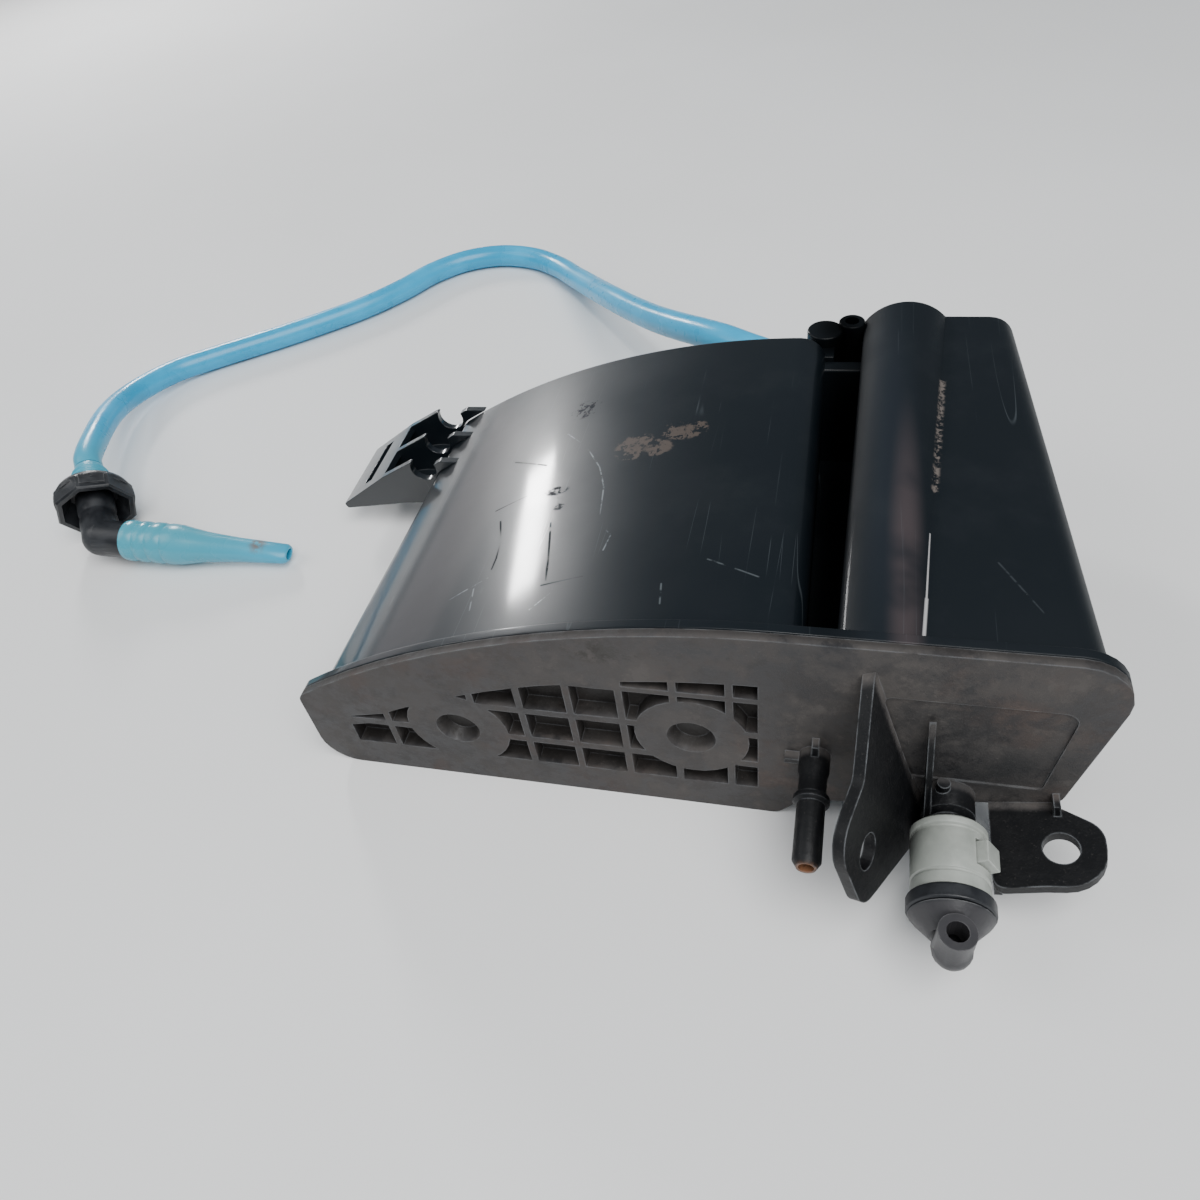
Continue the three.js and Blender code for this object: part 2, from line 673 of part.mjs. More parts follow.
function lid() {
  const plug = WALL + PLUG_CLEARANCE;
  const panel = roundedOutline([
    [PANEL_LEFT, PANEL_BOTTOM, 2],
    [PANEL_RIGHT - 3, PANEL_BOTTOM, 2],
    [PANEL_RIGHT, PANEL_TOP, 4],
    [PANEL_LEFT, PANEL_TOP, 2],
  ], 4);
  const dimples = BOSSES.map(([x, z]) =>
    at(
      turnedY([
        [0, -OVERSHOOT],
        [DIMPLE_RADIUS, -OVERSHOOT],
        [DIMPLE_RADIUS, 0],
        [DIMPLE_RADIUS * 0.72, DIMPLE_DEPTH],
        [0, DIMPLE_DEPTH],
      ]),
      x,
      0,
      z,
    ),
  );
  const [tankX, tankZ] = TANK_PORT;
  const [portX, portZ] = VENT_PORT;
  const tankBore = at(rodY(TANK_PORT_BORE, -TANK_PORT_LENGTH - 1, LID_RIM + 1, 16), tankX, 0, tankZ);
  const portBore = at(rodY(VENT_STEM_BORE, -VENT_STEM_LENGTH - 1, LID_DEPTH + 1, 16), portX, 0, portZ);
  const body = join(
    prismY(flangeOutline(), 0, LID_RIM),
    mainChamber(plug, LID_RIM - OVERSHOOT, LID_DEPTH),
    ventChamber(plug, LID_RIM - OVERSHOOT, LID_DEPTH),
    upperEar(),
    earBrace(),
    lowerEar(),
    tankPort(),
    canisterPort(),
  );
  return cut(
    body,
    prismY(panel, -OVERSHOOT, PANEL_RECESS),
    lidPockets(),
    ...dimples,
    tankBore,
    portBore,
  );
}

// ---------------------------------------------------------------- quick connector
const [PORT_X, PORT_Z] = VENT_PORT;
const CONNECTOR_FRONT = CONNECTOR_BACK + CONNECTOR_LENGTH;

function onPort(geometry) {
  return at(geometry, PORT_X, 0, PORT_Z);
}

function buttonDirection() {
  return new THREE.Vector3(Math.cos(radians(BUTTON_ANGLE)), 0, Math.sin(radians(BUTTON_ANGLE)));
}

const BUTTON_AT = CONNECTOR_BACK + 9.6;
const WINDOW_SLACK = 0.5;

// A box that reaches out from the port's axis in the button's direction.
function buttonBlock(width, length, from, to) {
  const block = box(from, to, -length / 2, length / 2, -width / 2, width / 2);
  block.rotateY(-radians(BUTTON_ANGLE));
  return at(block, 0, -BUTTON_AT, 0);
}

function connectorBody() {
  const back = -CONNECTOR_BACK;
  const front = -CONNECTOR_FRONT;
  const outer = turnedY([
    [0, back],
    [CONNECTOR_RADIUS - 0.8, back],
    [CONNECTOR_RADIUS, back - 0.8],
    [CONNECTOR_RADIUS, back - 2.6],
    [CONNECTOR_RADIUS - 0.9, back - 3],
    [CONNECTOR_RADIUS - 0.9, back - 3.8],
    [CONNECTOR_RADIUS, back - 4.2],
    [CONNECTOR_RADIUS, front + 4.6],
    [CONNECTOR_RADIUS - 0.5, front + 4.3],
    [CONNECTOR_RADIUS - 0.5, front + 3.7],
    [CONNECTOR_RADIUS, front + 3.4],
    [CONNECTOR_RADIUS, front],
    [0, front],
  ], 32);
  const bore = rodY(CONNECTOR_BORE, front - 1, back + 1, 28);
  const slack = 2 * WINDOW_SLACK;
  const window_ = buttonBlock(BUTTON_WIDTH + slack, BUTTON_LENGTH + slack, 3, CONNECTOR_RADIUS + 3);
  return onPort(cut(outer, bore, window_));
}

// The release button clears the stem by its own travel.
function releaseButton() {
  const inner = VENT_STEM_RADIUS + GAP + BUTTON_TRAVEL;
  const pad = buttonBlock(BUTTON_WIDTH, BUTTON_LENGTH, VENT_STEM_RADIUS, CONNECTOR_RADIUS + BUTTON_RISE);
  return onPort(cut(pad, rodY(inner, -CONNECTOR_FRONT, -CONNECTOR_BACK)));
}

function sealRing(distance) {
  const inner = VENT_STEM_RADIUS + GAP;
  const outer = CONNECTOR_BORE - GAP;
  const ring = new THREE.TorusGeometry((inner + outer) / 2, (outer - inner) / 2, 6, 20);
  return onPort(at(ring.rotateX(Math.PI / 2), 0, -distance, 0));
}

function collar() {
  const back = -CONNECTOR_FRONT - GAP;
  const front = back - COLLAR_LENGTH;
  const outer = turnedY([
    [0, back],
    [COLLAR_RADIUS - 0.6, back],
    [COLLAR_RADIUS, back - 0.6],
    [COLLAR_RADIUS, front + 0.4],
    [COLLAR_RADIUS - 0.5, front],
    [0, front],
  ], 32);
  return onPort(cut(outer, rodY(ELBOW_RADIUS - 0.4 + GAP, front - 1, back + 1, 24)));
}

function connectorElbow() {
  const back = -CONNECTOR_FRONT - 2 * GAP - COLLAR_LENGTH;
  const axle = rodY(ELBOW_RADIUS - 0.4, -ELBOW_AT, -CONNECTOR_FRONT + 1, 20);
  const cone = turnedY([
    [0, back],
    [COLLAR_RADIUS - 0.5, back],
    [COLLAR_RADIUS - 1.6, back - 1.4],
    [ELBOW_RADIUS + 1, back - 5.5],
    [0, back - 5.5],
  ], 32);
  const leg = at(rodZ(ELBOW_RADIUS, 0, ELBOW_RISE), 0, -ELBOW_AT, 0);
  const heel = at(new THREE.SphereGeometry(ELBOW_RADIUS + 0.4, 16, 10), 0, -ELBOW_AT, 0);
  const mouth = at(rodZ(ELBOW_BORE, 0, ELBOW_RISE + 1, 14), 0, -ELBOW_AT, 0);
  const duct = rodY(ELBOW_BORE, -ELBOW_AT, -CONNECTOR_FRONT + 2, 14);
  return onPort(cut(join(axle, cone, leg, heel), mouth, duct));
}

// ---------------------------------------------------------------- inside the canister
function coilSpring(from, to) {
  const steps = 12;
  const length = to - from - SPRING_WIRE;
  class Coil extends THREE.Curve {
    getPoint(t, target = new THREE.Vector3()) {
      const angle = 2 * Math.PI * SPRING_TURNS * t;
      return target.set(
        SPRING_RADIUS * Math.cos(angle),
        from + SPRING_WIRE / 2 + length * t,
        SPRING_RADIUS * Math.sin(angle),
      );
    }
  }
  const section = new THREE.Shape();
  for (let s = 0; s < 6; s++) {
    const angle = (Math.PI * s) / 3;
    const x = (SPRING_WIRE / 2) * Math.cos(angle);
    const y = (SPRING_WIRE / 2) * Math.sin(angle);
    if (s === 0) section.moveTo(x, y);
    else section.lineTo(x, y);
  }
  return new THREE.ExtrudeGeometry(section, {
    steps: SPRING_TURNS * steps,
    extrudePath: new Coil(),
  });
}

// A plate pierced by a grid of square holes, cut to a chamber's outline.
function piercedPlate(blank, left, right, bottom, top, from, to) {
  const pitch = 12;
  const hole = 5;
  const bars = [];
  for (let x = left + pitch; x < right - pitch / 2; x += pitch) {
    for (let z = bottom + pitch; z < top - pitch / 2; z += pitch) {
      bars.push(box(x - hole / 2, x + hole / 2, from - 1, to + 1, z - hole / 2, z + hole / 2));
    }
  }
  return cut(blank, ...bars);
}

const INNER = WALL + BED_CLEARANCE;
const SPRING_SEAT = LID_DEPTH + GAP;
const MAIN_PLATE_AT = MAIN_SPRING_ROOM + LID_DEPTH;
const VENT_PLATE_AT = VENT_SPRING_ROOM + LID_DEPTH;

function mainPressurePlate() {
  const from = MAIN_PLATE_AT;
  const to = from + PLATE;
  const blank = mainChamber(INNER, from, to);
  const shaved = common(blank, box(FLANGE_LEFT, MAIN_RIGHT, from, to, 0, crownHeight(MAIN_RIGHT)));
  return piercedPlate(shaved, 2, MAIN_RIGHT - 8, 6, 50, from, to);
}

function ventPressurePlate() {
  const from = VENT_PLATE_AT;
  const to = from + PLATE;
  return piercedPlate(ventBody(INNER, from, to), VENT_LEFT + 2, 212, 24, 70, from, to);
}

function layers(chamberOf, plateAt, depth) {
  const front = plateAt + PLATE + GAP;
  const rear = depth - WALL - GAP;
  return {
    frontPad: chamberOf(INNER, front, front + PAD),
    bed: chamberOf(INNER, front + PAD + GAP, rear - PAD - GAP),
    rearPad: chamberOf(INNER, rear - PAD, rear),
  };
}

// ---------------------------------------------------------------- side bracket
function pipeComb() {
  const [tipX, tipZ] = COMB_TIP;
  const [ridgeX, ridgeZ] = COMB_RIDGE;
  const [notchX, notchZ] = COMB_NOTCH;
  const length = COMB_PITCH * (COMB_RIBS - 1) + COMB_RIB;
  const rear = COMB_FRONT + length;
  const base = roundedOutline([
    [tipX, tipZ - 1, 1],
    [-17, COMB_FLOOR - 1, 0],
    [COMB_ROOT_X, COMB_FLOOR, 0],
    [COMB_ROOT_X, COMB_FLOOR + 3, 0],
    [-22, COMB_FLOOR + 2, 2],
    [tipX + 12, tipZ + 4.5, 2],
    [ridgeX + 1.2, ridgeZ - 2.4, 0],
    [ridgeX, ridgeZ, 0],
    [tipX - 1, tipZ + 1.5, 1],
  ], 3);
  const ribOutline = roundedOutline([
    [tipX + 8, tipZ + 2, 0],
    [COMB_ROOT_X, COMB_FLOOR, 0],
    [COMB_ROOT_X, COMB_PEAK + 1.8, 0],
    [notchX + 8, COMB_PEAK + 1.6, 1],
    [notchX + 4.6, COMB_PEAK - 0.6, 0.5],
    [notchX - 5.8, COMB_PEAK, 0.5],
    [ridgeX, ridgeZ, 0],
  ], 3);
  const pieces = [prismY(base, COMB_FRONT, rear)];
  for (let rib = 0; rib < COMB_RIBS; rib++) {
    const from = COMB_FRONT + rib * COMB_PITCH;
    pieces.push(prismY(ribOutline, from, from + COMB_RIB));
  }
  const slot = box(-COMB_SLOT_WIDTH / 2, COMB_SLOT_WIDTH / 2, 0, COMB_SLOT_LENGTH, -8, 8);
  slot.rotateY(-Math.atan2(ridgeZ - tipZ, ridgeX - tipX));
  const middle = [(tipX + ridgeX) / 2, (tipZ + ridgeZ) / 2];
  at(slot, middle[0], COMB_FRONT + COMB_RIB + 3, middle[1]);
  const pipe = at(rodY(COMB_NOTCH_RADIUS, COMB_FRONT - 1, rear + 1, 20), notchX, 0, notchZ);
  const tub = mainChamber(-GAP, COMB_FRONT - OVERSHOOT, rear + OVERSHOOT);
  return cut(join(...pieces), slot, pipe, tub);
}

// ---------------------------------------------------------------- hose and end fitting
const vector = (list) => new THREE.Vector3(...list);
const endAxis = vector(END_AXIS).normalize();
const endCorner = vector(END_CORNER);
const tailAxis = vector(TAIL_TIP).sub(endCorner).normalize();

// The point on the hose's end axis that lies a distance back from the elbow's corner.
function backFromCorner(distance) {
  return endCorner.clone().addScaledVector(endAxis, -distance);
}

function circleShape(radius, sides) {
  const shape = new THREE.Shape();
  for (let s = 0; s < sides; s++) {
    const angle = (2 * Math.PI * s) / sides;
    const x = radius * Math.cos(angle);
    const y = radius * Math.sin(angle);
    if (s === 0) shape.moveTo(x, y);
    else shape.lineTo(x, y);
  }
  return shape;
}

// The hose starts just off the spigot's end. If that end is moved, the route follows it,
// less and less towards the end fitting.
function hose() {
  const spigotEnd = vector(SPIGOT_START);
  spigotEnd.addScaledVector(vector(SPIGOT_DIRECTION).normalize(), SPIGOT_LENGTH + HOSE_OFF_SPIGOT);
  const moved = spigotEnd.sub(vector(HOSE_ROUTE[0]));
  const last = HOSE_ROUTE.length - 1;
  const points = HOSE_ROUTE.map((place, i) => vector(place).addScaledVector(moved, 1 - i / last));
  const end = SLEEVE_BACK + GAP;
  points.push(backFromCorner(end + HOSE_RADIUS), backFromCorner(end + 1), backFromCorner(end));
  const path = new THREE.CatmullRomCurve3(points, false, "centripetal");
  return new THREE.ExtrudeGeometry(circleShape(HOSE_RADIUS, HOSE_SIDES), {
    steps: HOSE_STEPS,
    extrudePath: path,
  });
}

// Pieces on the end axis are turned about +Y, which points from the cap to the elbow.
function onEnd(geometry, distance) {
  return aimUpright(geometry, backFromCorner(distance), endAxis, vector(CAP_TOP));
}

function hoseSleeve() {
  const length = SLEEVE_BACK - CAP_BACK - GAP;
  const pitch = (length - SLEEVE_FLARE - 0.4) / SLEEVE_RIDGES;
  const profile = [[0, 0], [HOSE_RADIUS, 0], [SLEEVE_RADIUS - 0.7, SLEEVE_FLARE]];
  for (let ridge = 0; ridge < SLEEVE_RIDGES; ridge++) {
    const start = SLEEVE_FLARE + 0.3 + ridge * pitch;
    profile.push(
      [SLEEVE_RADIUS - 0.7, start],
      [SLEEVE_RADIUS, start + 0.35 * pitch],
      [SLEEVE_RADIUS, start + 0.65 * pitch],
    );
  }
  profile.push([SLEEVE_RADIUS - 0.7, length], [0, length]);
  return onEnd(turnedY(profile), SLEEVE_BACK);
}

// The cap is an eight-sided cup on a round rear cone, open towards the elbow.
function endCap() {
  const length = CAP_BACK - CAP_MOUTH;
  const flatUp = Math.PI / CAP_SIDES;
  const cone = turnedY([
    [0, 0],
    [CAP_RADIUS - 5.6, 0],
    [CAP_RADIUS - 5.6, 1.2],
    [CAP_RADIUS - 1.6, 3.8],
    [CAP_RADIUS - 0.6, 6],
    [CAP_RADIUS - 0.6, 8],
    [0, 8],
  ], 32);
  const cup = turnedY([
    [0, 5.6],
    [CAP_RADIUS - 0.6, 5.6],
    [CAP_RADIUS, 7],
    [CAP_RADIUS, length - 0.8],
    [CAP_RADIUS - 0.8, length],
    [0, length],
  ], CAP_SIDES, flatUp);
  const hollow = turnedY([
    [0, length - CAP_CUP_DEPTH],
    [CAP_CUP_RADIUS - 3.4, length - CAP_CUP_DEPTH],
    [CAP_CUP_RADIUS, length - 3],
    [CAP_CUP_RADIUS + 1.2, length + 1],
    [0, length + 1],
  ], CAP_SIDES, flatUp);
  const tabTop = CAP_RADIUS * Math.cos(flatUp) + 0.6;
  const tab = box(-CAP_TAB_WIDTH / 2, CAP_TAB_WIDTH / 2, 6.4, length - 2.4, CAP_RADIUS - 3, tabTop);
  const bore = rodY(CAP_BORE, -1, length, 20);
  return onEnd(cut(join(cone, cup, tab), hollow, bore), CAP_BACK);
}

// The stem has a neck before it swells into the elbow's round corner.
function endElbow() {
  const rim = CAP_BACK - CAP_MOUTH - CAP_CUP_DEPTH + 1;
  const stem = turnedY([
    [0, 0],
    [CAP_BORE - GAP, 0],
    [CAP_BORE - GAP, rim],
    [END_STEM_RADIUS, rim + 1],
    [END_STEM_RADIUS, rim + 10],
    [END_STEM_RADIUS - 0.8, rim + 11.5],
    [END_STEM_RADIUS - 0.8, rim + 13],
    [END_STEM_RADIUS, rim + 15],
    [END_STEM_RADIUS, CAP_BACK - GAP],
    [0, CAP_BACK - GAP],
  ]);
  const ball = new THREE.SphereGeometry(END_STEM_RADIUS + 0.2, 20, 12);
  const leg = rodY(END_STEM_RADIUS + 0.2, 0, TAIL_START - GAP);
  const duct = rodY(TAIL_BORE, 0, TAIL_START + 1, 12);
  return cut(
    join(
      onEnd(stem, CAP_BACK - GAP),
      at(ball, ...END_CORNER),
      aim(leg, endCorner, tailAxis),
    ),
    aim(duct, endCorner, tailAxis),
  );
}

// Presses the far end of a piece that lies along +Y flat in Z, and widens it a little in X.
function squeezed(geometry, length) {
  const position = geometry.getAttribute("position");
  for (let i = 0; i < position.count; i++) {
    const along = (position.getY(i) - length + TAIL_SQUEEZE_LENGTH) / TAIL_SQUEEZE_LENGTH;
    const press = TAIL_SQUEEZE * THREE.MathUtils.clamp(along, 0, 1);
    position.setX(i, position.getX(i) * (1 + press / 3));
    position.setZ(i, position.getZ(i) * (1 - press));
  }
  return geometry;
}

function tailTube() {
  const length = vector(TAIL_TIP).distanceTo(endCorner) - TAIL_START;
  const profile = [[0, 0], [TAIL_RADIUS - 0.5, 0], [TAIL_RADIUS - 0.2, 1.4]];
  for (const dip of TAIL_RIBS) {
    profile.push(
      [TAIL_RADIUS - 0.2, dip],
      [TAIL_RADIUS - 0.2 - TAIL_RIB_DEPTH, dip + 1.8],
      [TAIL_RADIUS - 0.2, dip + 3.6],
    );
  }
  profile.push(
    [TAIL_RADIUS - 0.5, TAIL_SHOULDER],
    [TAIL_RADIUS - 1.5, TAIL_SHOULDER + 5],
    [TAIL_RADIUS - 2.5, TAIL_SHOULDER + 11],
    [TAIL_RADIUS - 3, TAIL_SHOULDER + 16],
    [TAIL_TIP_RADIUS + 0.7, length - TAIL_SQUEEZE_LENGTH],
    [TAIL_TIP_RADIUS + 0.3, length - 9],
    [TAIL_TIP_RADIUS, length - 1.5],
    [TAIL_TIP_RADIUS - 1, length],
    [0, length],
  );
  const tube = turnedY(profile);
  const bore = rodY(TAIL_BORE, -1, length + 1, 12);
  const start = endCorner.clone().addScaledVector(tailAxis, TAIL_START);
  const upwards = new THREE.Vector3(0, 0, 1);
  return aimUpright(squeezed(cut(tube, bore), length), start, tailAxis, upwards);
}

// ---------------------------------------------------------------- assembly
const FINISH = {
  tub: { color: 0x11161c, roughness: 0.32, metalness: 0 },
  lid: { color: 0x33322f, roughness: 0.75, metalness: 0 },
  grey: { color: 0xb4b6ac, roughness: 0.45, metalness: 0 },
  black: { color: 0x1b1c1e, roughness: 0.5, metalness: 0 },
  blue: { color: 0x4fa6c4, roughness: 0.35, metalness: 0 },
  rubber: { color: 0x0e0e0e, roughness: 0.8, metalness: 0 },
  carbon: { color: 0x0a0a0a, roughness: 0.95, metalness: 0 },
  fleece: { color: 0xcfcabb, roughness: 1, metalness: 0 },
  steel: { color: 0x9a9a98, roughness: 0.35, metalness: 1 },
};

const canister = new THREE.Group();
const cord = new THREE.Group();

function add(group, name, finish, geometry) {
  const mesh = new THREE.Mesh(geometry, new THREE.MeshStandardMaterial(FINISH[finish]));
  mesh.name = name;
  group.add(mesh);
}

add(canister, "housing", "tub", housing());
add(canister, "lid", "lid", lid());
add(canister, "connector_body", "grey", connectorBody());
add(canister, "release_button", "grey", releaseButton());
add(canister, "seal_ring_inner", "rubber", sealRing(RING_PLACES[0]));
add(canister, "seal_ring_outer", "rubber", sealRing(RING_PLACES[1]));
add(canister, "connector_collar", "black", collar());
add(canister, "connector_elbow", "black", connectorElbow());
add(canister, "pipe_comb", "tub", pipeComb());

add(canister, "main_pressure_plate", "black", mainPressurePlate());
add(canister, "vent_pressure_plate", "black", ventPressurePlate());
const mainLayers = layers(mainChamber, MAIN_PLATE_AT, MAIN_DEPTH);
const ventLayers = layers(ventBody, VENT_PLATE_AT, VENT_DEPTH);
for (const [chamberName, parts] of [["main", mainLayers], ["vent", ventLayers]]) {
  add(canister, chamberName + "_front_fleece", "fleece", parts.frontPad);
  add(canister, chamberName + "_carbon_bed", "carbon", parts.bed);
  add(canister, chamberName + "_rear_fleece", "fleece", parts.rearPad);
}
BOSSES.forEach(([x, z], i) => {
  const spring = at(coilSpring(SPRING_SEAT, MAIN_PLATE_AT - GAP), x, 0, z);
  add(canister, i === 0 ? "main_spring_left" : "main_spring_right", "steel", spring);
});
const [springX, springZ] = VENT_SPRING_AXIS;
const ventSpring = at(coilSpring(SPRING_SEAT, VENT_PLATE_AT - GAP), springX, 0, springZ);
add(canister, "vent_spring", "steel", ventSpring);

add(cord, "hose", "blue", hose());
add(cord, "hose_sleeve", "blue", hoseSleeve());
add(cord, "end_cap", "black", endCap());
add(cord, "end_elbow", "black", endElbow());
add(cord, "tail_tube", "blue", tailTube());

// The origin is the middle of the canister's footprint, on the surface it lies on.
const root = new THREE.Group();
root.add(canister, cord);
const footprint = new THREE.Box3().setFromObject(canister, true);
const middle = footprint.getCenter(new THREE.Vector3());
for (const group of [canister, cord]) group.position.set(-middle.x, -middle.y, 0);

export default root;
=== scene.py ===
# Looks of the fuel vapour canister: a studio shot of the two-lobed tub with its ribbed lid,
# quick connector, pipe comb and blue vapour hose. Shapes are set out in millimetres in the
# lid's own frame (X along the lid, Y from the lid into the tub, Z up) and placed in metres.
import json
import math

import bmesh
import bpy
from mathutils import Matrix, Vector


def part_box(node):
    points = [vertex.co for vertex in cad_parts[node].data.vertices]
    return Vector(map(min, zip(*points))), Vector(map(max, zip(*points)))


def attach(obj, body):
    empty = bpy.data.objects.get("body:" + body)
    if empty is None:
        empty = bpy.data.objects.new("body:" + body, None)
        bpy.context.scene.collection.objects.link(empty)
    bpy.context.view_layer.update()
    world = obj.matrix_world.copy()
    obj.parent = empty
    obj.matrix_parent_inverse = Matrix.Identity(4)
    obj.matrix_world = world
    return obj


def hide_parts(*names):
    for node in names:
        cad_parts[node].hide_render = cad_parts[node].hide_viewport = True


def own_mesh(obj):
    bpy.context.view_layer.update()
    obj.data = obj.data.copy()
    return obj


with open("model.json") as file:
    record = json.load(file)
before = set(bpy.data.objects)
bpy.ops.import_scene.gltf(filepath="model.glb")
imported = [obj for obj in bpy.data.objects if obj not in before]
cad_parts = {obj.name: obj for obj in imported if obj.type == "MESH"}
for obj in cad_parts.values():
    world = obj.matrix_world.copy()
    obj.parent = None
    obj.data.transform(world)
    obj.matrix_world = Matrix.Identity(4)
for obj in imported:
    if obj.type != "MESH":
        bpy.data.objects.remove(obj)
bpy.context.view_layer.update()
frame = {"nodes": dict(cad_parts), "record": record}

# ---------------------------------------------------------------- sizes, in millimetres
MM = 0.001
GAP = 0.3
FLANGE_LEFT = -15.5
FLANGE_TOP = 82.5
CROWN_RADIUS = 278
CROWN_X = 140
FLANGE_RIGHT_TOP = 228.5
FLANGE_RIGHT_FOOT = 219
STEP_X = 141
STEP_WIDTH = 7
STEP_HEIGHT = 8.5
SLOPE_FOOT_HEIGHT = 23.8
LEFT_CORNER = 12
CREST_CORNER = 5
RIGHT_CORNER = 14
SMALL_CORNER = 4
LID_RIM = 3
LID_DEPTH = 8.5
FLANGE_DEPTH = 3.2
FLANGE_OVERHANG = 4
WALL = 2.5
MAIN_DEPTH = 155
VENT_DEPTH = 172
MAIN_RIGHT = 146.5
VENT_LEFT = 154.5
DRAFT_INSET = 2.6
RIGHT_LEAN = 10
LOBE_CORNER = 9
LOBE_BASE_CORNER = 6
VENT_TOP = 77.5
BULGE_X = 165
BULGE_DRIFT = 7.4
BULGE_RADIUS = 18
BULGE_RISE = 3.5
BULGE_FOOT_CORNER = 3
GROOVE_FLOOR = 26
GROOVE_END_TOP = 68
GROOVE_END_WALL = 6
FOOT_HEIGHT = 7
FOOT_LENGTH = 4
MOUTH = LID_RIM + GAP
FAR_FILLET = 2.2
WEB_OVERLAP = (6, 4)  # how far the pieces across the groove reach into the main and vent lobes
TOWER_WEB = 4  # half the width of the web that holds the port tower
AIR_WEB = 3  # half the width of the web that holds the fresh-air tower
SPIGOT_START = (143, 163.5, 56)
SPIGOT_DIRECTION = (-0.94, 0.342, 0)
SPIGOT_RADIUS = 4.4
SPIGOT_LENGTH = 10
SPIGOT_WALL = 1.6
PORT_TOWER = (143, 163.5)
PORT_TOWER_RADIUS = 6.6
PORT_TOWER_TOP = 73.5
PORT_TOWER_FOOT = 48
FRESH_AIR_TOWER = (152.5, 167)
FRESH_AIR_RADIUS = 4.8
FRESH_AIR_BORE = 2.6

HOSE_RADIUS = 6
HOSE_REST = 6.4
HOSE_ROUTE = [
    (132.7, 167.3, 56),
    (124, 170.6, 56.6),
    (113.5, 176.2, 56.8),
    (102, 184.4, 56),
    (90.5, 194.4, 53),
    (79, 206.2, 48.6),
    (66, 221.4, 43),
    (51, 241, 36.5),
    (36, 262, 30),
    (18.5, 290, 20.4),
    (1, 317, 11.8),
    (-16, 338, 7.5),
    (-33.5, 350, HOSE_REST),
    (-55, 354, HOSE_REST),
    (-76, 348, HOSE_REST),
    (-92.5, 333.5, HOSE_REST),
    (-105, 314, HOSE_REST),
    (-120, 295.5, HOSE_REST),
    (-139, 278.5, HOSE_REST),
    (-160, 262, HOSE_REST),
    (-179, 248.5, HOSE_REST),
    (-195, 236.5, 6.6),
    (-206.5, 225, 7.4),
    (-213.8, 209.5, 9),
    (-215.5, 192.5, 11.8),
    (-211.5, 176, 15.8),
    (-205.5, 162, 19.4),
    (-198, 146.5, 22.6),
]
END_CORNER = Vector((-162, 87.5, 13))
END_AXIS = Vector((0.55, -0.8, -0.24)).normalized()
SLEEVE_BACK = 42
ELBOW_FRONT = -38

LID_LOW, LID_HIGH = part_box("lid")
ORIGIN = Vector((LID_LOW.x - FLANGE_LEFT * MM, LID_HIGH.y - LID_DEPTH * MM, 0))
TO_FRAME = Matrix.Translation(ORIGIN) @ Matrix.Scale(MM, 4)


def placed(x, y, z):
    return TO_FRAME @ Vector((x, y, z))


# ---------------------------------------------------------------- camera
CAMERA_PLACE = (151.7, -160.7, 269.8)
CAMERA_YAW = -19.61
CAMERA_PITCH = 45.97
CAMERA_ROLL = -9.96
CAMERA_LENS = 28.5


def make_camera():
    yaw, pitch, roll = (math.radians(a) for a in (CAMERA_YAW, CAMERA_PITCH, CAMERA_ROLL))
    ahead = Vector((
        math.sin(yaw) * math.cos(pitch),
        math.cos(yaw) * math.cos(pitch),
        -math.sin(pitch),
    ))
    level = Vector((math.cos(yaw), -math.sin(yaw), 0))
    upright = level.cross(ahead)
    right = level * math.cos(roll) + upright * math.sin(roll)
    up = upright * math.cos(roll) - level * math.sin(roll)
    data = bpy.data.cameras.new("camera")
    data.sensor_width = 36
    data.lens = CAMERA_LENS
    data.clip_start = 0.01
    camera = bpy.data.objects.new("camera", data)
    bpy.context.scene.collection.objects.link(camera)
    turn = Matrix((right, up, -ahead)).transposed().to_4x4()
    camera.matrix_world = Matrix.Translation(placed(*CAMERA_PLACE)) @ turn
    bpy.context.scene.camera = camera


make_camera()


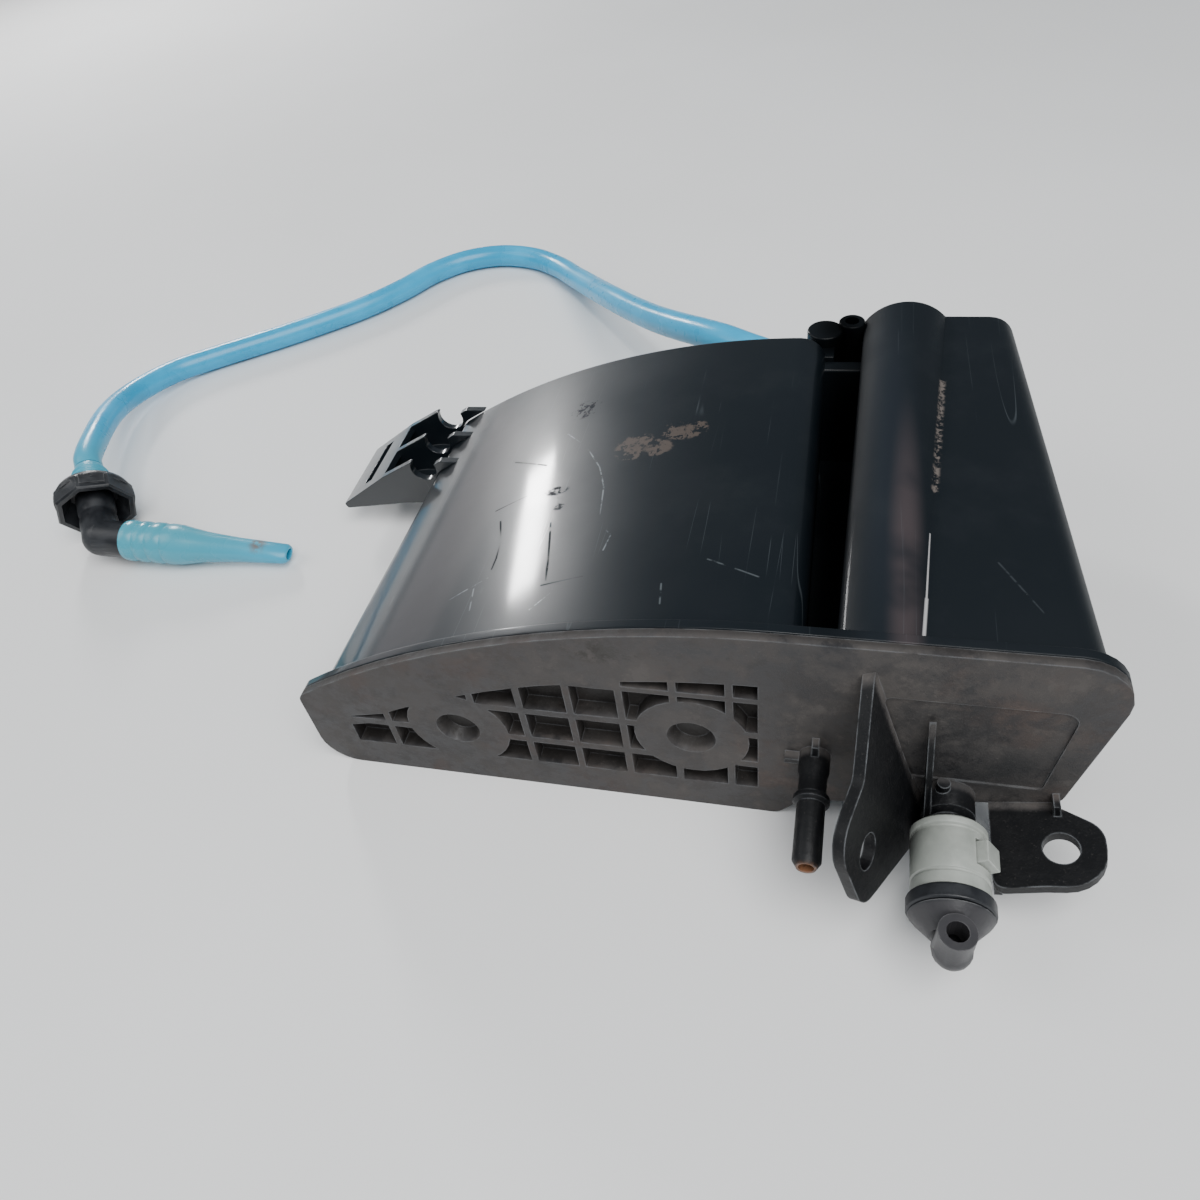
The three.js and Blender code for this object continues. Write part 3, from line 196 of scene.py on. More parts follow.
# ---------------------------------------------------------------- materials
class Surface:
    """A material built from nodes, with its textures in metres of the row's frame."""

    def __init__(self, name):
        self.material = bpy.data.materials.new(name)
        self.material.use_nodes = True
        self.tree = self.material.node_tree
        self.shader = self.tree.nodes["Principled BSDF"]
        self.place = self.add("ShaderNodeTexCoord").outputs["Object"]

    def add(self, kind, inputs=None, **settings):
        node = self.tree.nodes.new(kind)
        for name, value in settings.items():
            setattr(node, name, value)
        for name, value in (inputs or {}).items():
            self.feed(node.inputs[name], value)
        return node

    def feed(self, socket, value):
        if isinstance(value, bpy.types.NodeSocket):
            self.tree.links.new(value, socket)
        elif isinstance(value, (tuple, list)) and len(value) == 3 and socket.type == "RGBA":
            socket.default_value = (*value, 1)
        else:
            socket.default_value = value

    def noise(self, scale, detail=4, roughness=0.55, stretch=None, turn=(0, 0, 0), shift=(0, 0, 0)):
        where = self.place
        if stretch or any(shift):
            where = self.add(
                "ShaderNodeMapping",
                {"Vector": where, "Scale": stretch or (1, 1, 1), "Rotation": turn, "Location": shift},
            ).outputs[0]
        node = self.add(
            "ShaderNodeTexNoise",
            {"Vector": where, "Scale": scale, "Detail": detail, "Roughness": roughness},
        )
        return node.outputs["Fac"]

    def math(self, operation, a, b=0.0, clamp=False):
        node = self.add("ShaderNodeMath", operation=operation, use_clamp=clamp)
        self.feed(node.inputs[0], a)
        self.feed(node.inputs[1], b)
        return node.outputs[0]

    def times(self, a, b):
        return self.math("MULTIPLY", a, b)

    def inverse(self, mask):
        return self.math("SUBTRACT", 1.0, mask)

    def span(self, value, low, high, to_low=0.0, to_high=1.0):
        node = self.add(
            "ShaderNodeMapRange",
            {"Value": value, "From Min": low, "From Max": high, "To Min": to_low, "To Max": to_high},
            interpolation_type="SMOOTHSTEP",
        )
        return node.outputs[0]

    def mix(self, share, a, b):
        node = self.add("ShaderNodeMix", data_type="RGBA")
        self.feed(node.inputs[0], share)
        self.feed(node.inputs[6], a)
        self.feed(node.inputs[7], b)
        return node.outputs[2]

    def axis(self, name):
        return self.add("ShaderNodeSeparateXYZ", {"Vector": self.place}).outputs[name]

    def edges(self, radius, low, high):
        """1 on convex and concave edges of about this radius in metres, and 0 on open faces."""
        rounded = self.add("ShaderNodeBevel", {"Radius": radius}, samples=6).outputs[0]
        plain = self.add("ShaderNodeNewGeometry").outputs["Normal"]
        node = self.add("ShaderNodeVectorMath", {0: rounded, 1: plain}, operation="DOT_PRODUCT")
        return self.span(node.outputs["Value"], high, low)

    def spot(self, centre, reach):
        """1 near a place given in millimetres of the lid's frame, falling to 0 at its reach."""
        offset = self.add("ShaderNodeVectorMath", {0: self.place, 1: placed(*centre)}, operation="SUBTRACT")
        scaled = self.add(
            "ShaderNodeVectorMath",
            {0: offset.outputs[0], 1: tuple(1 / (r * MM) for r in reach)},
            operation="MULTIPLY",
        )
        length = self.add("ShaderNodeVectorMath", {0: scaled.outputs[0]}, operation="LENGTH")
        return self.span(length.outputs["Value"], 1.0, 0.2)

    def stroke(self, start, end, width):
        """1 along a line between two places in millimetres of the lid's frame, 0 away from it."""
        first, along = placed(*start), placed(*end) - placed(*start)
        offset = self.add("ShaderNodeVectorMath", {0: self.place, 1: first}, operation="SUBTRACT").outputs[0]
        reach = along / along.length_squared
        share = self.add("ShaderNodeVectorMath", {0: offset, 1: reach}, operation="DOT_PRODUCT")
        share = self.math("ADD", share.outputs["Value"], 0.0, clamp=True)
        nearest = self.add("ShaderNodeVectorMath", {0: along}, operation="SCALE")
        self.feed(nearest.inputs["Scale"], share)
        gap = self.add(
            "ShaderNodeVectorMath", {0: offset, 1: nearest.outputs[0]}, operation="DISTANCE"
        )
        return self.span(gap.outputs["Value"], width * MM, 0.3 * width * MM)

    def strokes(self, lines, width):
        """The strokes of several lines, each a list of places."""
        marks = 0.0
        for line in lines:
            for start, end in zip(line, line[1:]):
                marks = self.math("MAXIMUM", self.stroke(start, end, width), marks)
        return marks

    def most(self, *masks):
        """The greatest of several masks at each place."""
        whole = masks[0]
        for mask in masks[1:]:
            whole = self.math("MAXIMUM", whole, mask)
        return whole

    def scratches(self, turn, scale, thin, shift):
        """Fine straight marks: slices of a noise that is drawn out along one direction."""
        lines = self.noise(scale, 2, 0.5, (1, 0.03, 0.2), (0, 0, math.radians(turn)), shift)
        level = self.math("ABSOLUTE", self.math("SUBTRACT", lines, 0.5))
        patches = self.span(self.noise(24, 2, 0.5, shift=shift), 0.52, 0.66)
        return self.times(self.span(level, thin, 0.0), patches)

    def bump(self, height, strength, distance):
        node = self.add("ShaderNodeBump", {"Height": height, "Strength": strength, "Distance": distance})
        self.feed(self.shader.inputs["Normal"], node.outputs[0])

    def set(self, **values):
        for name, value in values.items():
            self.feed(self.shader.inputs[name.replace("_", " ")], value)
        return self.material


# The tub's own marks, and a painted highlight along the seam, in millimetres of the lid's frame.
PALE_SCRATCHES = [
    [(55, 108, 63), (65, 97, 66), (73, 83, 69), (77, 72, 70), (79, 57, 71)],
    [(82, 50, 72), (85, 47, 72), (84, 40, 72)],
    [(66, 17, 68), (71, 23, 69), (72, 29, 69)],
    [(31, 27, 56), (46, 35, 61)],
    [(117, 34, 77), (133, 27, 78)],
    [(44, 21, 61), (42, 31, 60)],
    [(105, 24, 76), (106, 16, 76)],
    [(192, 118, 75), (201, 104, 75)],
    [(196, 40, 77), (206, 22, 77)],
]
DARK_SCRATCHES = [
    [(36, 99, 56), (51, 91, 62)],
    [(37, 71, 57), (48, 75, 61)],
    [(41, 64, 59), (45, 53, 60), (46, 44, 61), (46, 39, 61)],
    [(62, 57, 66), (66, 39, 68), (68, 29, 68)],
    [(67, 27, 68), (80, 29, 71)],
]
# the seam's pale line is wear, and also a painted highlight on the ridge's small fillet
SEAM_WEAR_AND_HIGHLIGHT = [(175.8, 4, 77.5), (177, 24, 77.2), (178.2, 50, 76.9)]
FLAKED_SEAM = [(179.9, 70, 76.5), (181.6, 98, 76), (183.4, 128, 75.5)]


def tub_plastic():
    s = Surface("tub_plastic")
    # the two lobes, and the main lobe's sheen, which fades to the right
    vent_side = s.span(s.axis("X"), placed(149, 0, 0).x, placed(156, 0, 0).x)
    sheen = s.span(s.axis("X"), placed(70, 0, 0).x, placed(118, 0, 0).x, 1.0, 0.4)
    # haze, specks and scratches
    haze = s.span(s.noise(14, 5), 0.36, 0.7)
    specks = s.span(s.noise(900, 2, 0.6), 0.8, 0.85)
    breaks = s.span(s.noise(260, 3, 0.6), 0.4, 0.55)
    hairs = s.most(*(
        s.scratches(turn, scale, 0.0022, shift)
        for turn, scale, shift in ((-55, 45, (1.3, 0.2, 0)), (70, 60, (0.4, 2.1, 0)))
    ))
    shown = s.math("SUBTRACT", sheen, s.times(vent_side, 0.25))
    pale = s.times(s.times(s.strokes(PALE_SCRATCHES, 0.4), breaks), shown)
    dark = s.times(s.strokes(DARK_SCRATCHES, 0.55), s.span(s.noise(190, 3, 0.6), 0.3, 0.45))
    # a dust patch, scuffs, the worn seam beside the bulge with a painted highlight along its near part,
    # painted reflections on the bulge and painted shade in the groove
    ragged = s.span(s.noise(210, 5, 0.7), 0.47, 0.56, 0, 0.8)
    flake = s.span(s.noise(420, 5, 0.72), 0.45, 0.53)
    patch = s.most(
        s.spot((84, 92, 71), (9, 9, 14)),
        s.spot((100, 99, 74), (10, 7, 14)),
        s.spot((90, 90, 72), (9, 6, 14)),
    )
    patch = s.span(s.math("ADD", patch, ragged), 0.82, 1.05)
    patch = s.times(patch, s.span(s.noise(420, 5, 0.72), 0.38, 0.48))
    scuff = s.most(
        s.spot((59.5, 74, 65), (6.5, 3.2, 9)),
        s.spot((63.5, 65, 66), (5, 2.6, 9)),
        s.spot((59, 122, 63), (9, 8, 9)),
    )
    scuff = s.times(s.span(s.math("ADD", scuff, ragged), 0.9, 1.3), flake)
    # the seam's pale line: wear, painted brighter as the highlight of a small fillet
    seam_near, seam_middle, seam_far = SEAM_WEAR_AND_HIGHLIGHT
    seam = s.most(s.stroke(seam_near, seam_middle, 0.7), s.stroke(seam_middle, seam_far, 0.4))
    chips = s.times(s.strokes([FLAKED_SEAM], 1.7), s.span(s.noise(520, 6, 0.75), 0.47, 0.55))
    # painted reflection: a warm brown band painted on the bulge left of the seam
    warm_reflection = s.times(s.spot((171.5, 32, 79), (6.5, 90, 12)), s.span(s.noise(30, 3), 0.2, 0.5))
    # painted reflection: a soft blue-grey sheen painted over the bulge
    bulge = s.spot((166, 80, 78), (12, 130, 16))
    dust = s.span(s.noise(35, 6, 0.65), 0.46, 0.78)
    # painted shade over the groove, the lobe flanks beside it and the towers at its far end
    groove = s.most(s.spot((152, 85, 45), (15, 160, 75)), s.spot((149, 165, 66), (20, 26, 26)))
    groove = s.times(groove, 0.95)
    # colour, from the clean plastic up to the painted shade in the groove, with painted reflections on the
    # bulge
    base = s.mix(s.times(dust, 0.16), (0.0042, 0.007, 0.0098), (0.03, 0.033, 0.036))
    base = s.mix(s.times(bulge, 0.5), base, (0.015, 0.02, 0.028))
    base = s.mix(s.times(warm_reflection, 0.8), base, (0.06, 0.047, 0.049))
    base = s.mix(s.times(hairs, 0.2), base, (0.2, 0.23, 0.25))
    base = s.mix(s.times(pale, 0.5), base, (0.3, 0.34, 0.36))
    base = s.mix(s.times(patch, 0.85), base, (0.078, 0.061, 0.051))
    base = s.mix(s.times(scuff, 0.7), base, (0.03, 0.032, 0.037))
    base = s.mix(seam, base, (0.42, 0.41, 0.41))
    base = s.mix(s.times(chips, 0.9), base, (0.15, 0.128, 0.114))
    base = s.mix(s.times(specks, 0.35), base, (0.3, 0.3, 0.29))
    # painted shade: near black over the groove
    base = s.mix(groove, base, (0.001, 0.001, 0.001))
    # roughness and sheen, both duller where the plastic is worn, and the sheen also taken away in the
    # groove's painted shade
    worn = s.most(patch, scuff, seam, chips, dark)
    rough = s.span(haze, 0, 1, 0.36, 0.46)
    rough = s.math("ADD", rough, s.times(s.math("MAXIMUM", worn, vent_side), 0.16), clamp=True)
    gloss = s.inverse(s.times(vent_side, 0.7))
    gloss = s.times(gloss, s.inverse(s.math("MAXIMUM", worn, groove)))
    gloss = s.times(gloss, sheen)
    open_face = s.inverse(s.times(s.most(groove, scuff, dark), 0.95))
    height = s.times(s.noise(26, 3, 0.4), 1.3)
    height = s.math("ADD", height, s.times(s.noise(1500, 2), 0.03))
    s.bump(height, 0.5, 0.0004)
    return s.set(
        Base_Color=base,
        Roughness=rough,
        Specular_IOR_Level=s.times(s.span(sheen, 0.4, 1, 0.22, 0.34), open_face),
        Coat_Weight=s.times(gloss, 0.75),
        Coat_Roughness=s.span(haze, 0, 1, 0.09, 0.15),
    )


def lid_plastic():
    s = Surface("lid_plastic")
    out = s.span(s.axis("Y"), placed(0, -1, 0).y, placed(0, -3.5, 0).y)
    # painted shade: the recessed lattice pockets are painted darker than the face
    pocket_shade = s.span(s.axis("Y"), placed(0, 0.3, 0).y, placed(0, 2.4, 0).y)
    right = s.span(s.axis("X"), placed(20, 0, 0).x, placed(190, 0, 0).x, 0.7, 1)
    cloud = s.span(s.noise(22, 6, 0.62), 0.32, 0.66)
    blotch = s.span(s.noise(75, 6, 0.7, shift=(2, 0, 1)), 0.44, 0.57)
    fine = s.span(s.noise(190, 6, 0.72), 0.4, 0.66)
    band = s.spot((70, 0, 66), (70, 8, 16))
    dust = s.math("ADD", s.times(cloud, 0.42), s.times(fine, 0.3))
    dust = s.math("ADD", dust, s.times(blotch, 0.42))
    dust = s.times(s.math("ADD", dust, s.times(band, 0.3)), right)
    dust = s.math("MULTIPLY", dust, s.inverse(s.times(out, 0.97)), clamp=True)
    # painted shadow: a darker patch on the lid's face right of the connector, where its shadow falls
    dark = s.times(s.spot((196, 0, 36), (36, 8, 17)), s.span(s.noise(60, 4), 0.35, 0.6))
    stain = s.times(s.spot((92, 0, 72), (16, 6, 7)), s.span(s.noise(160, 5, 0.7), 0.45, 0.58))
    rust = s.times(s.spot((151.2, -36, 34), (3.4, 9, 3.4)), s.span(s.noise(500, 4), 0.3, 0.5))
    wear = s.times(s.edges(0.0007, 0.9, 0.99), s.span(s.noise(180, 3), 0.3, 0.62))
    grain = s.span(s.noise(1400, 3, 0.6), 0.6, 0.75)
    reddish = s.span(s.noise(38, 4, 0.6, shift=(4, 1, 0)), 0.5, 0.68)
    pale = s.mix(s.times(reddish, 0.7), (0.075, 0.067, 0.062), (0.084, 0.058, 0.048))
    base = s.mix(dust, s.mix(out, (0.014, 0.014, 0.016), (0.0035, 0.004, 0.005)), pale)
    base = s.mix(s.times(dark, 0.8), base, (0.016, 0.017, 0.019))
    base = s.mix(s.times(stain, 0.8), base, (0.028, 0.025, 0.022))
    base = s.mix(s.times(pocket_shade, 0.72), base, (0.014, 0.0115, 0.0095))
    base = s.mix(s.times(wear, s.span(out, 0, 1, 0.4, 0.75)), base, (0.19, 0.2, 0.21))
    base = s.mix(s.times(grain, 0.14), base, (0.2, 0.18, 0.165))
    base = s.mix(rust, base, (0.42, 0.19, 0.09))
    rough = s.span(s.math("ADD", dust, s.times(fine, 0.3)), 0, 1, 0.46, 0.82)
    height = s.math("ADD", s.times(fine, 0.5), s.times(s.noise(900, 4), 0.35))
    s.bump(height, 0.35, 0.0003)
    return s.set(Base_Color=base, Roughness=rough, Specular_IOR_Level=s.span(out, 0, 1, 0.5, 0.28))


def plain_plastic(name, dark, light, rough, grain=0.25, wear=0.35, worn=(0.3, 0.3, 0.3), front=None):
    """A plastic of two close tones; front is the tone of what lies before the lid's connector."""
    s = Surface(name)
    cloud = s.span(s.noise(90, 5, 0.6), 0.35, 0.68)
    fine = s.noise(1100, 3, 0.6)
    edge = s.times(s.edges(0.0005, 0.88, 0.99), s.span(s.noise(260, 4), 0.35, 0.62))
    base = s.mix(cloud, dark, light)
    if front:
        ahead = s.span(s.axis("Y"), placed(0, ELBOW_FRONT, 0).y, placed(0, ELBOW_FRONT - 1, 0).y)
        base = s.mix(ahead, base, front)
    base = s.mix(s.times(edge, wear), base, worn)
    level = s.math("ADD", s.span(cloud, 0, 1, rough[0], rough[1]), s.times(edge, 0.1))
    s.bump(s.math("ADD", fine, s.times(s.noise(160, 3), 0.6)), grain, 0.0002)
    return s.set(Base_Color=base, Roughness=level)


def blue_plastic():
    s = Surface("blue_plastic")
    cloud = s.span(s.noise(40, 4), 0.3, 0.7)
    grime = s.times(s.span(s.noise(75, 6, 0.68), 0.56, 0.76), s.span(s.noise(700, 3), 0.35, 0.6))
    tip = s.times(s.spot((-88, 92.5, 10), (5, 6, 6)), s.span(s.noise(300, 4), 0.4, 0.55))
    faded = s.spot((-150, 100, 15), (130, 70, 60))
    base = s.mix(cloud, (0.01, 0.34, 0.6), (0.02, 0.42, 0.72))
    base = s.mix(faded, base, (0.06, 0.34, 0.44))
    base = s.mix(s.times(grime, 0.35), base, (0.06, 0.2, 0.27))
    base = s.mix(s.times(tip, 0.8), base, (0.2, 0.1, 0.05))
    rough = s.span(s.math("ADD", cloud, grime), 0, 2, 0.26, 0.5)
    s.bump(s.math("ADD", s.noise(120, 3), s.times(s.noise(1300, 2), 0.2)), 0.3, 0.0003)
    return s.set(Base_Color=base, Roughness=rough)


def spring_steel():
    s = Surface("spring_steel")
    cloud = s.span(s.noise(300, 4), 0.35, 0.65)
    base = s.mix(cloud, (0.42, 0.42, 0.42), (0.62, 0.61, 0.6))
    return s.set(Base_Color=base, Roughness=s.span(cloud, 0, 1, 0.25, 0.42), Metallic=1.0)


MATERIALS = {
    "tub": tub_plastic(),
    "lid": lid_plastic(),
    "grey": plain_plastic(
        "grey_plastic",
        (0.31, 0.33, 0.3),
        (0.4, 0.42, 0.385),
        (0.3, 0.42),
        grain=0.15,
        wear=0.3,
        worn=(0.7, 0.7, 0.66),
    ),
    "black": plain_plastic(
        "black_plastic",
        (0.008, 0.009, 0.011),
        (0.022, 0.024, 0.028),
        (0.35, 0.55),
        front=(0.036, 0.035, 0.038),
    ),
    "blue": blue_plastic(),
    "rubber": plain_plastic("rubber", (0.008, 0.008, 0.008), (0.02, 0.02, 0.02), (0.6, 0.8)),
    "carbon": plain_plastic("carbon", (0.004, 0.004, 0.004), (0.03, 0.03, 0.03), (0.7, 0.95), 1.0),
    "fleece": plain_plastic("fleece", (0.5, 0.48, 0.42), (0.68, 0.66, 0.6), (0.9, 1.0), 1.0),
    "steel": spring_steel(),
}
SLOT_OF = {row["node"]: row["material_slot"] for row in frame["record"]["subparts"]}


# ---------------------------------------------------------------- mesh tools
def as_object(name, mesh, slot, body, *nodes):
    """Puts a finished mesh into the scene as a piece that stands for some CAD nodes."""
    thing = bpy.data.objects.new(name, mesh)
    bpy.context.scene.collection.objects.link(thing)
    mesh.materials.clear()
    mesh.materials.append(MATERIALS[slot])
    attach(thing, body)
    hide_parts(*nodes)
    return thing


def shaded(mesh, angle=32):
    mesh.shade_smooth()
    mesh.set_sharp_from_angle(angle=math.radians(angle))
    return mesh


def softened(thing, width, segments=2, angle=32):
    """Rounds a piece's edges by a width in millimetres."""
    bevel = thing.modifiers.new("edges", "BEVEL")
    bevel.width = width * MM
    bevel.segments = segments
    bevel.limit_method = "ANGLE"
    bevel.angle_limit = math.radians(angle)
    bevel.harden_normals = True
    return thing


def rounded_outline(corners, steps=8):
    """A closed outline with rounded corners: each corner is (x, z, radius)."""
    points = []
    for i, (x, z, radius) in enumerate(corners):
        here = Vector((x, z))
        if not radius:
            points.append(here)
            continue
        back = (Vector(corners[i - 1][:2]) - here).normalized()
        on = (Vector(corners[(i + 1) % len(corners)][:2]) - here).normalized()
        half = math.acos(max(-1, min(1, back.dot(on)))) / 2
        centre = here + (back + on).normalized() * (radius / math.sin(half))
        start = here + back * (radius / math.tan(half)) - centre
        end = here + on * (radius / math.tan(half)) - centre
        turn = math.atan2(start.x * end.y - start.y * end.x, start.dot(end))
        for s in range(steps + 1):
            points.append(centre + Matrix.Rotation(turn * s / steps, 2) @ start)
    return points


def ring(outline, y):
    return [Vector((p.x, y, p.y)) for p in outline]


def lofted(rings):
    """A closed solid through rings of equal point count, with flat ends."""
    work = bmesh.new()
    rows = [[work.verts.new(p) for p in points] for points in rings]
    count = len(rows[0])
    for near, far in zip(rows, rows[1:]):
        for i in range(count):
            j = (i + 1) % count
            work.faces.new((near[i], near[j], far[j], far[i]))
    work.faces.new(rows[0][::-1])
    work.faces.new(rows[-1])
    bmesh.ops.recalc_face_normals(work, faces=work.faces)
    mesh = bpy.data.meshes.new("loft")
    work.to_mesh(mesh)
    work.free()
    return mesh


def turned(profile, sides=48, base=Matrix.Identity(4)):
    """A solid of revolution about +Y: each profile point is (radius, y)."""
    rings = []
    for radius, y in profile:
        radius = max(radius, 0.01)
        rings.append([
            base @ Vector((
                radius * math.cos(2 * math.pi * s / sides),
                y,
                radius * math.sin(2 * math.pi * s / sides),
            ))
            for s in range(sides)
        ])
    return lofted(rings)


def boxed(low, high, rounding=0.0):
    """A block with its upright and level edges rounded."""
    work = bmesh.new()
    bmesh.ops.create_cube(work, size=1)
    size = Vector(high) - Vector(low)
    middle = (Vector(high) + Vector(low)) / 2
    bmesh.ops.transform(work, matrix=Matrix.LocRotScale(middle, None, size), verts=work.verts)
    if rounding:
        bmesh.ops.bevel(work, geom=work.edges, offset=rounding, segments=3, profile=0.5, affect="EDGES")
    mesh = bpy.data.meshes.new("block")
    work.to_mesh(mesh)
    work.free()
    return mesh


def combined(first, others, operation):
    """Joins or cuts closed meshes."""
    thing = bpy.data.objects.new("work", first)
    bpy.context.scene.collection.objects.link(thing)
    helpers = []
    for mesh in others:
        helper = bpy.data.objects.new("tool", mesh)
        bpy.context.scene.collection.objects.link(helper)
        step = thing.modifiers.new("step", "BOOLEAN")
        step.operation = operation
        step.solver = "MANIFOLD"
        step.object = helper
        helpers.append(helper)
    bpy.context.view_layer.update()
    whole = bpy.data.meshes.new_from_object(thing.evaluated_get(bpy.context.evaluated_depsgraph_get()))
    for used in [thing, *helpers]:
        bpy.data.objects.remove(used)
    return whole


def copy_of(node, width, body="canister"):
    """A CAD node again, with its flat faces made whole and its edges rounded by a width."""
    mesh = frame["nodes"][node].data.copy()
    work = bmesh.new()
    work.from_mesh(mesh)
    bmesh.ops.remove_doubles(work, verts=work.verts, dist=2e-6)
    bmesh.ops.dissolve_limit(
        work, angle_limit=math.radians(0.6), verts=work.verts, edges=work.edges
    )
    work.to_mesh(mesh)
    work.free()
    shaded(mesh)
    thing = as_object(node + "_piece", mesh, SLOT_OF[node], body, node)
    return softened(thing, width) if width else thing


def spring(node):
    """A coil spring: a copy of its CAD node, with a mesh of its own."""
    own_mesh(copy_of(node, 0))


# ---------------------------------------------------------------- tub
def crown_height(x, inset):
    radius = CROWN_RADIUS - inset
    run = min(0, x - CROWN_X)
    return FLANGE_TOP - CROWN_RADIUS + math.sqrt(radius * radius - run * run)


def main_outline(inset, steps=40):
    left = FLANGE_LEFT + FLANGE_OVERHANG + inset
    right = MAIN_RIGHT - inset
    low = FLANGE_OVERHANG + inset
    corners = [(left, low, LOBE_BASE_CORNER), (right, low, SMALL_CORNER)]
    corners.append((right, crown_height(right, low), LOBE_CORNER))
    start, stop = right - LOBE_CORNER * 1.2, left + LOBE_CORNER * 1.2
    for s in range(steps + 1):
        x = start + (stop - start) * s / steps
        corners.append((x, crown_height(x, low), 0))
    corners.append((left, crown_height(left, low), LOBE_CORNER))
    return rounded_outline(corners)


def vent_outline(inset, share, steps=24):
    """The vent lobe's outline, with the bulge's arc from its flat top down to the left wall."""
    shrink = inset + DRAFT_INSET * share
    in_from_right = FLANGE_OVERHANG + shrink + RIGHT_LEAN * share
    left = VENT_LEFT + shrink
    radius = BULGE_RADIUS - inset
    middle_x = BULGE_X + BULGE_DRIFT * share
    middle_z = VENT_TOP + BULGE_RISE - BULGE_RADIUS
    seam = math.asin((VENT_TOP - shrink - middle_z) / radius)
    wall = math.acos((left - middle_x) / radius)
    clear = wall - 0.13  # leaves room for the rounding where the arc meets the wall
    corners = [
        (left, STEP_HEIGHT + FLANGE_OVERHANG + shrink + 1, SMALL_CORNER),
        (FLANGE_RIGHT_FOOT - in_from_right, SLOPE_FOOT_HEIGHT + FLANGE_OVERHANG + shrink, LOBE_BASE_CORNER),
        (FLANGE_RIGHT_TOP - in_from_right, VENT_TOP - shrink, LOBE_CORNER),
    ]
    for angle in [seam + (clear - seam) * s / steps for s in range(steps + 1)] + [wall]:
        rounding = BULGE_FOOT_CORNER if angle == wall else 0
        corners.append((middle_x + radius * math.cos(angle), middle_z + radius * math.sin(angle), rounding))
    return rounded_outline(corners)


def lobe(outline_at, start, depth, fillet, steps=26):
    """A drafted lobe from its mouth to its far end, with the far edge rounded."""
    rings = []
    straight = depth - fillet
    for s in range(steps + 1):
        y = start + (straight - start) * s / steps
        rings.append(ring(outline_at(y, 0), y))
    for s in range(1, 7):
        angle = math.pi / 2 * s / 6
        y = straight + fillet * math.sin(angle)
        rings.append(ring(outline_at(y, fillet * (1 - math.cos(angle))), y))
    return lofted(rings)


def main_lobe(inset, start, depth, fillet):
    def outline_at(y, extra):
        return main_outline(inset + extra + DRAFT_INSET * (y - LID_RIM) / MAIN_DEPTH)

    return lobe(outline_at, start, depth, fillet)


def vent_lobe(inset, start, depth, fillet):
    def outline_at(y, extra):
        return vent_outline(inset + extra, (y - LID_RIM) / VENT_DEPTH)

    return lobe(outline_at, start, depth, fillet)


def flange_outline(inset=0.0):
    left = FLANGE_LEFT + inset
    corners = [
        (left, inset, LEFT_CORNER - inset),
        (STEP_X - inset * 0.4, inset, SMALL_CORNER),
        (STEP_X + STEP_WIDTH - inset * 0.4, STEP_HEIGHT + inset, SMALL_CORNER),
        (FLANGE_RIGHT_FOOT - inset, SLOPE_FOOT_HEIGHT + inset, SMALL_CORNER),
        (FLANGE_RIGHT_TOP - inset, FLANGE_TOP - inset, RIGHT_CORNER - inset),
    ]
    steps = 44
    for s in range(steps + 1):
        x = CROWN_X + (left + 7 - CROWN_X) * s / steps
        corners.append((x, crown_height(x, inset), 0))
    corners.append((left, crown_height(left, inset), CREST_CORNER))
    return rounded_outline(corners)


def rim_plate(start, end, rounding=0.5):
    """The flange, with both its edges rounded."""
    near, far = [], []
    for s in range(4):
        angle = math.pi / 2 * s / 3
        from_side = rounding * (1 - math.sin(angle))
        from_face = rounding * (1 - math.cos(angle))
        near.append(ring(flange_outline(from_side), start + from_face))
        far.append(ring(flange_outline(from_face), end - from_side))
    return lofted(near + far)


def upright(radius, foot, top, place, rounding=0.8):
    """An upright post with a rounded top edge."""
    lift = Matrix.Translation((place[0], place[1], 0)) @ Matrix.Rotation(math.pi / 2, 4, "X")
    profile = [(0, foot), (radius, foot)]
    for s in range(5):
        angle = math.pi / 2 * s / 4
        profile.append((radius - rounding * (1 - math.cos(angle)), top - rounding * (1 - math.sin(angle))))
    profile.append((0, top))
    return turned(profile, 40, lift)


